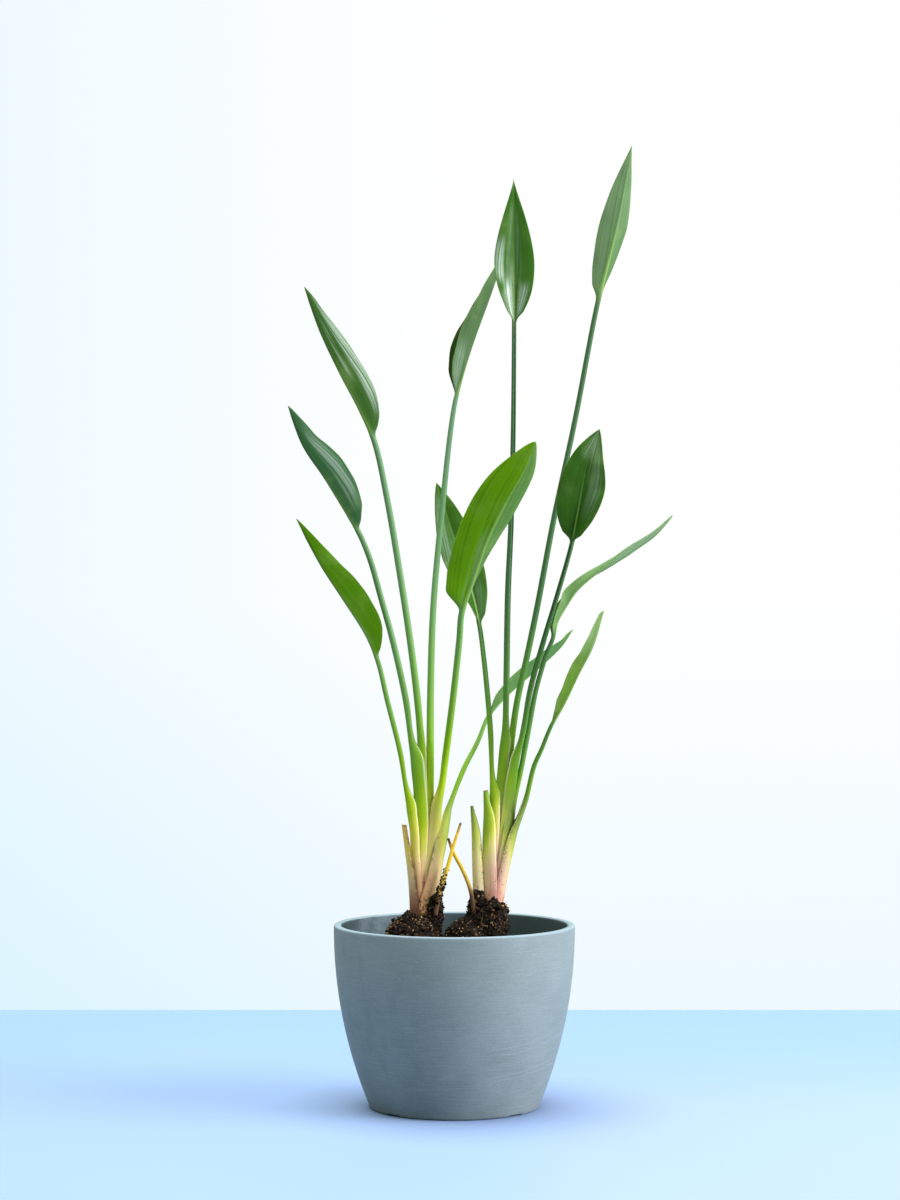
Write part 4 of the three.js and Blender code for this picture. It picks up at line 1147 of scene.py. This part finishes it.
def refined(node, slot, material, voxel, layers, above=0):
    """A finer copy of a node in its place, with even small faces.

    Its points above a height are moved along their normals by layers of noise.
    """
    piece = new_object(node + "_fine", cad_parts[node].data.copy())
    made = piece.modifiers.new("even", "REMESH")
    made.mode = "VOXEL"
    made.voxel_size = voxel
    apply_modifiers(piece)
    piece.data.materials.clear()
    piece.data.materials.append(material)
    points, normals = mesh_arrays(piece.data)
    amount = np.zeros(len(points))
    for size, height in layers:
        amount += height * np.array([noise.noise(Vector(p / size)) for p in points])
    points += normals * (amount * (points[:, 2] > above))[:, None]
    piece.data.vertices.foreach_set("co", points.ravel())
    piece.data.update()
    piece.data.shade_smooth()
    dress(piece, slot, node)
    return piece


def soil_material():
    """Dark clumps with light specks."""
    s = new_material("soil")
    clumps = s.noise(180, 5, 0.7)
    fine = s.noise(900, 3, 0.7)
    base = s.ramp(clumps, SOIL_COLOURS)
    base = s.tinted(base, (fine.step(0.6, 0.72) * 0.5, SOIL_SPECK))
    return s.finish(base, 0.92, s.bump(clumps, 0.0012), specular=0.2)


def bits_material(name, roughness=0.9):
    """Small bits, each of its own tone."""
    s = new_material(name)
    grain = s.noise(1400, 3, 0.6)
    base = s.ramp(s.attribute("tone") + (grain * 0.3 - 0.15), BIT_COLOURS[name])
    return s.finish(base, roughness, s.bump(grain, 0.0002), specular=0.2)


def rhizome_material():
    """Pale brown, with dark rings."""
    s = new_material("rhizome")
    rings = s.lines(s.z * 0.42, 2)
    mottle = s.noise(160, 4, 0.6)
    base = s.ramp(mottle, RHIZOME_COLOURS)
    base = s.tinted(base, (rings.step(0.5, 0.7) * 0.5, RHIZOME_RING))
    return s.finish(base, 0.75, s.bump(rings + mottle, 0.0006))


def icosahedron():
    g = (1 + math.sqrt(5)) / 2
    points = []
    for a in (-1, 1):
        for b in (-g, g):
            points += [(0, a, b), (a, b, 0), (b, 0, a)]
    points = unit(np.array(points, float))
    near = np.linalg.norm(points[:, None] - points[None], axis=-1)
    edge = np.sort(near[0])[1] * 1.1
    faces = []
    for i, j, k in itertools.combinations(range(12), 3):
        if max(near[i, j], near[j, k], near[i, k]) < edge:
            out = np.dot(np.cross(points[j] - points[i], points[k] - points[i]), points[i])
            faces.append((i, j, k) if out > 0 else (i, k, j))
    return points, np.array(faces)


def rotations(draw, count):
    """Random turns as matrices."""
    axes = unit(draw.normal(size=(count, 3)))
    helper = unit(draw.normal(size=(count, 3)))
    second = unit(np.cross(axes, helper))
    return np.stack([axes, second, np.cross(axes, second)], 1)


def bits(name, draw, spots, normals, sizes, shape, sink, material):
    """Many small uneven bits in one mesh, each sunk by a share of its size."""
    ball, ball_faces = icosahedron()
    count = len(spots)
    stretch = draw.uniform(*shape, size=(count, 1, 3))
    jitter = draw.uniform(*BIT_JITTER, size=(count, len(ball), 1))
    local = ball[None] * jitter * stretch * sizes[:, None, None] / 2
    turned = np.einsum("nij,nkj->nki", rotations(draw, count), local)
    centres = spots + normals * (sizes * (0.5 - sink))[:, None]
    points = (turned + centres[:, None]).reshape(-1, 3)
    starts = np.arange(count)[:, None, None] * len(ball)
    faces = (starts + ball_faces[None]).reshape(-1, 3).tolist()
    tones = np.repeat(draw.uniform(0, 1, count), len(ball))
    piece = new_piece(name, points, faces, material, {"tone": tones})
    piece.data.shade_flat()
    dress(piece, "soil")


def surface_spots(draw, mesh, count):
    """Random places on the soil's top in millimetres, with the face normals there."""
    mesh.calc_loop_triangles()
    corners = np.zeros(len(mesh.loop_triangles) * 3, np.int32)
    mesh.loop_triangles.foreach_get("vertices", corners)
    points, _ = mesh_arrays(mesh)
    a, b, c = (points[corners.reshape(-1, 3)[:, i]] for i in range(3))
    cross = np.cross(b - a, c - a)
    area = np.linalg.norm(cross, axis=1)
    normal = cross / np.maximum(area, 1e-12)[:, None]
    share = area * top_weight((a + b + c) / 3 / MM, normal)
    picked = draw.choice(len(a), count, p=share / share.sum())
    u, v = draw.uniform(size=(2, count, 1))
    over = u + v > 1
    u, v = np.where(over, 1 - u, u), np.where(over, 1 - v, v)
    spots = a[picked] + (b[picked] - a[picked]) * u + (c[picked] - a[picked]) * v
    return spots / MM, normal[picked]


def top_weight(centres, normals):
    """Where bits lie: the open top of the soil, more on the heaps."""
    up = (normals[:, 2] > SOIL_FACING) & (centres[:, 2] > SOIL_LOWEST)
    inside = np.hypot(centres[:, 0], centres[:, 1]) < SOIL_REACH
    heap = 1 + HEAP_EXTRA * (centres[:, 2] > HEAP_LOWEST)
    return np.where(up & inside, heap, 0.0)


def stuck_spots(draw, count):
    """Places on the lower part of the dry sheath that soil clings to."""
    t = draw.uniform(size=count) ** STUCK_CROWDING
    low, high = np.array(STUCK_FOOT, float), np.array(STUCK_TOP, float)
    way = unit(draw.normal(size=(count, 3)))
    return mix(low, high, t[:, None]) + way * mix(*STUCK_REACH, t)[:, None], way


def fibres(name, draw, spots, normals, material):
    """Thin bent fibres that lie on the soil."""
    count = len(spots)
    ways = unit(np.cross(normals, draw.normal(size=spots.shape)))
    lengths = draw.uniform(*FIBRE_LENGTH, (count, 1))
    radii = draw.uniform(*FIBRE_RADIUS, (count, 1))
    bends = draw.uniform(*FIBRE_BEND, (count, 1))
    tones = draw.uniform(size=count)
    up, way, beside = (x[:, None] for x in (normals, ways, np.cross(normals, ways)))
    t = np.linspace(-0.5, 0.5, FIBRE_STEPS)
    rise = radii * FIBRE_LIFT + FIBRE_WAVE * np.cos(t * FIBRE_WAVES)
    curve = bends * lengths * 0.5 * t * t
    line = spots[:, None] + up * rise[..., None] + way * (t * lengths)[..., None]
    line += beside * curve[..., None]
    angle = np.arange(FIBRE_SIDES)[:, None] * 2 * math.pi / FIBRE_SIDES
    ring = (beside * np.cos(angle) + up * np.sin(angle))[:, None]
    size = radii * (1 - FIBRE_TAPER * np.abs(t * 2) ** 3)
    points = line[:, :, None] + ring * size[..., None, None]
    around = FIBRE_STEPS * FIBRE_SIDES
    faces = [[start * around + i for i in face]
             for start in range(count) for face in ring_faces(FIBRE_STEPS, FIBRE_SIDES)]
    layers = {"tone": np.repeat(tones, around)}
    dress(new_piece(name, points.reshape(-1, 3), faces, material, layers), "soil")


def build_soil():
    draw = np.random.default_rng(SOIL_SEED)
    soil = refined("soil", "soil", soil_material(), SOIL_VOXEL, SOIL_LAYERS, (SOIL_TOP - 2) * MM)
    spots, normals = surface_spots(draw, soil.data, CRUMBS)
    sizes = draw.lognormal(*CRUMB_SPREAD, CRUMBS).clip(*CRUMB_SIZE)
    stuck, ways = stuck_spots(draw, STUCK)
    sizes = np.concatenate([sizes, draw.uniform(*STUCK_SIZE, STUCK)])
    bits("soil_crumbs", draw, np.vstack([spots, stuck]), np.vstack([normals, ways]), sizes,
         CRUMB_STRETCH, BIT_SINK, bits_material("soil_crumbs"))
    for name, (look, roughness, count, between, shape, sink) in BITS.items():
        spots, normals = surface_spots(draw, soil.data, count)
        sizes = draw.uniform(*between, count)
        bits(name, draw, spots, normals, sizes, shape, sink, bits_material(look, roughness))
    fibres("fibres", draw, *surface_spots(draw, soil.data, FIBRES), bits_material("fibres"))


def build_rhizomes():
    material = rhizome_material()
    for side in CROWNS:
        refined("rhizome_" + side, "rhizome", material, RHIZOME_VOXEL, RHIZOME_LAYERS)


# Floor in millimetres. Lights and background in metres

FLOOR_BACK = 574
FLOOR_FRONT = -700
FLOOR_HALF = 900
FLOOR_COLOURS = ((132, 154, 197), (137, 159, 200))
FLOOR_PAINTED_LIGHT = (144, 161, 199)
FLOOR_FAR = (120, 154, 204)
# Lights: place, what they face, size, power and colour
LIGHTS = {
    "key": ((3.4, -1, 1.4), (0, 0, 0.3), 2.6, 255, (0.95, 0.94, 1)),
    "above": ((-0.3, 0.2, 3.6), (0, 0.1, 0), 3.4, 265, (0.96, 1, 0.99)),
}
WALL_WHITE = (255, 255, 255)
WALL_BLUE = (222, 245, 255)
SURROUND = (0.9, 0.97, 0.62, 1)
SURROUND_STRENGTH = 0.44


def build_stage():
    s = new_material("floor")
    # Painted light: the floor is paler towards the front right
    right = s.x.step(0, 160) * s.y.step(300, 0)
    colour = s.tinted(
        rgb(*FLOOR_COLOURS[0]),
        (s.noise(3), FLOOR_COLOURS[1]),
        (right * 0.8, FLOOR_PAINTED_LIGHT),
        (s.y.step(-300, FLOOR_BACK) * 0.5, FLOOR_FAR))
    corners = [(-FLOOR_HALF, FLOOR_FRONT, 0), (FLOOR_HALF, FLOOR_FRONT, 0),
               (FLOOR_HALF, FLOOR_BACK, 0), (-FLOOR_HALF, FLOOR_BACK, 0)]
    floor = new_piece("floor", corners, [(0, 1, 2, 3)], s.finish(colour, 0.7, specular=0.2))


def area_light(name, place, target, size, power, colour):
    data = bpy.data.lights.new(name, "AREA")
    data.shape = "RECTANGLE"
    data.size = data.size_y = size
    data.energy = power
    data.color = colour
    lamp = new_object(name, data)
    lamp.location = place
    lamp.rotation_euler = (Vector(target) - Vector(place)).to_track_quat("-Z", "Y").to_euler()


def backdrop(s):
    """White wall, pale blue towards the left and towards the floor."""
    x, _, z = s.parts(s.value("TexCoord", output="Generated"), 1)
    left = s.math("MULTIPLY", x, -3.3, use_clamp=True)
    low = s.math("MULTIPLY", z, -4, use_clamp=True)
    blue = s.math("ADD", left, low, use_clamp=True)
    return s.tinted(rgb(*WALL_WHITE), (blue, WALL_BLUE))


def build_light():
    """A soft key from the right, light from above, and a pale surround."""
    for name, light in LIGHTS.items():
        area_light(name, *light)
    world = bpy.data.worlds.new("surround")
    bpy.context.scene.world = world
    s = Shader(world)
    seen = s.value("Background", {"Color": backdrop(s)})
    lit = s.value("Background", {"Color": SURROUND, "Strength": SURROUND_STRENGTH})
    to_camera = s.value("LightPath", output="Is Camera Ray")
    surface = s.value("MixShader", {0: to_camera, 1: lit, 2: seen})
    s.node("OutputWorld", {"Surface": surface})
    bpy.context.scene.view_settings.view_transform = "Standard"


make_camera()
build_stage()
build_light()
build_pot()
build_soil()
build_rhizomes()
for order, (leaf_name, leaf_sizes) in enumerate(LEAVES.items()):
    build_leaf(leaf_name, leaf_sizes, order)
for stub_name, stub_sizes in STUBS.items():
    build_stub(stub_name, stub_sizes)
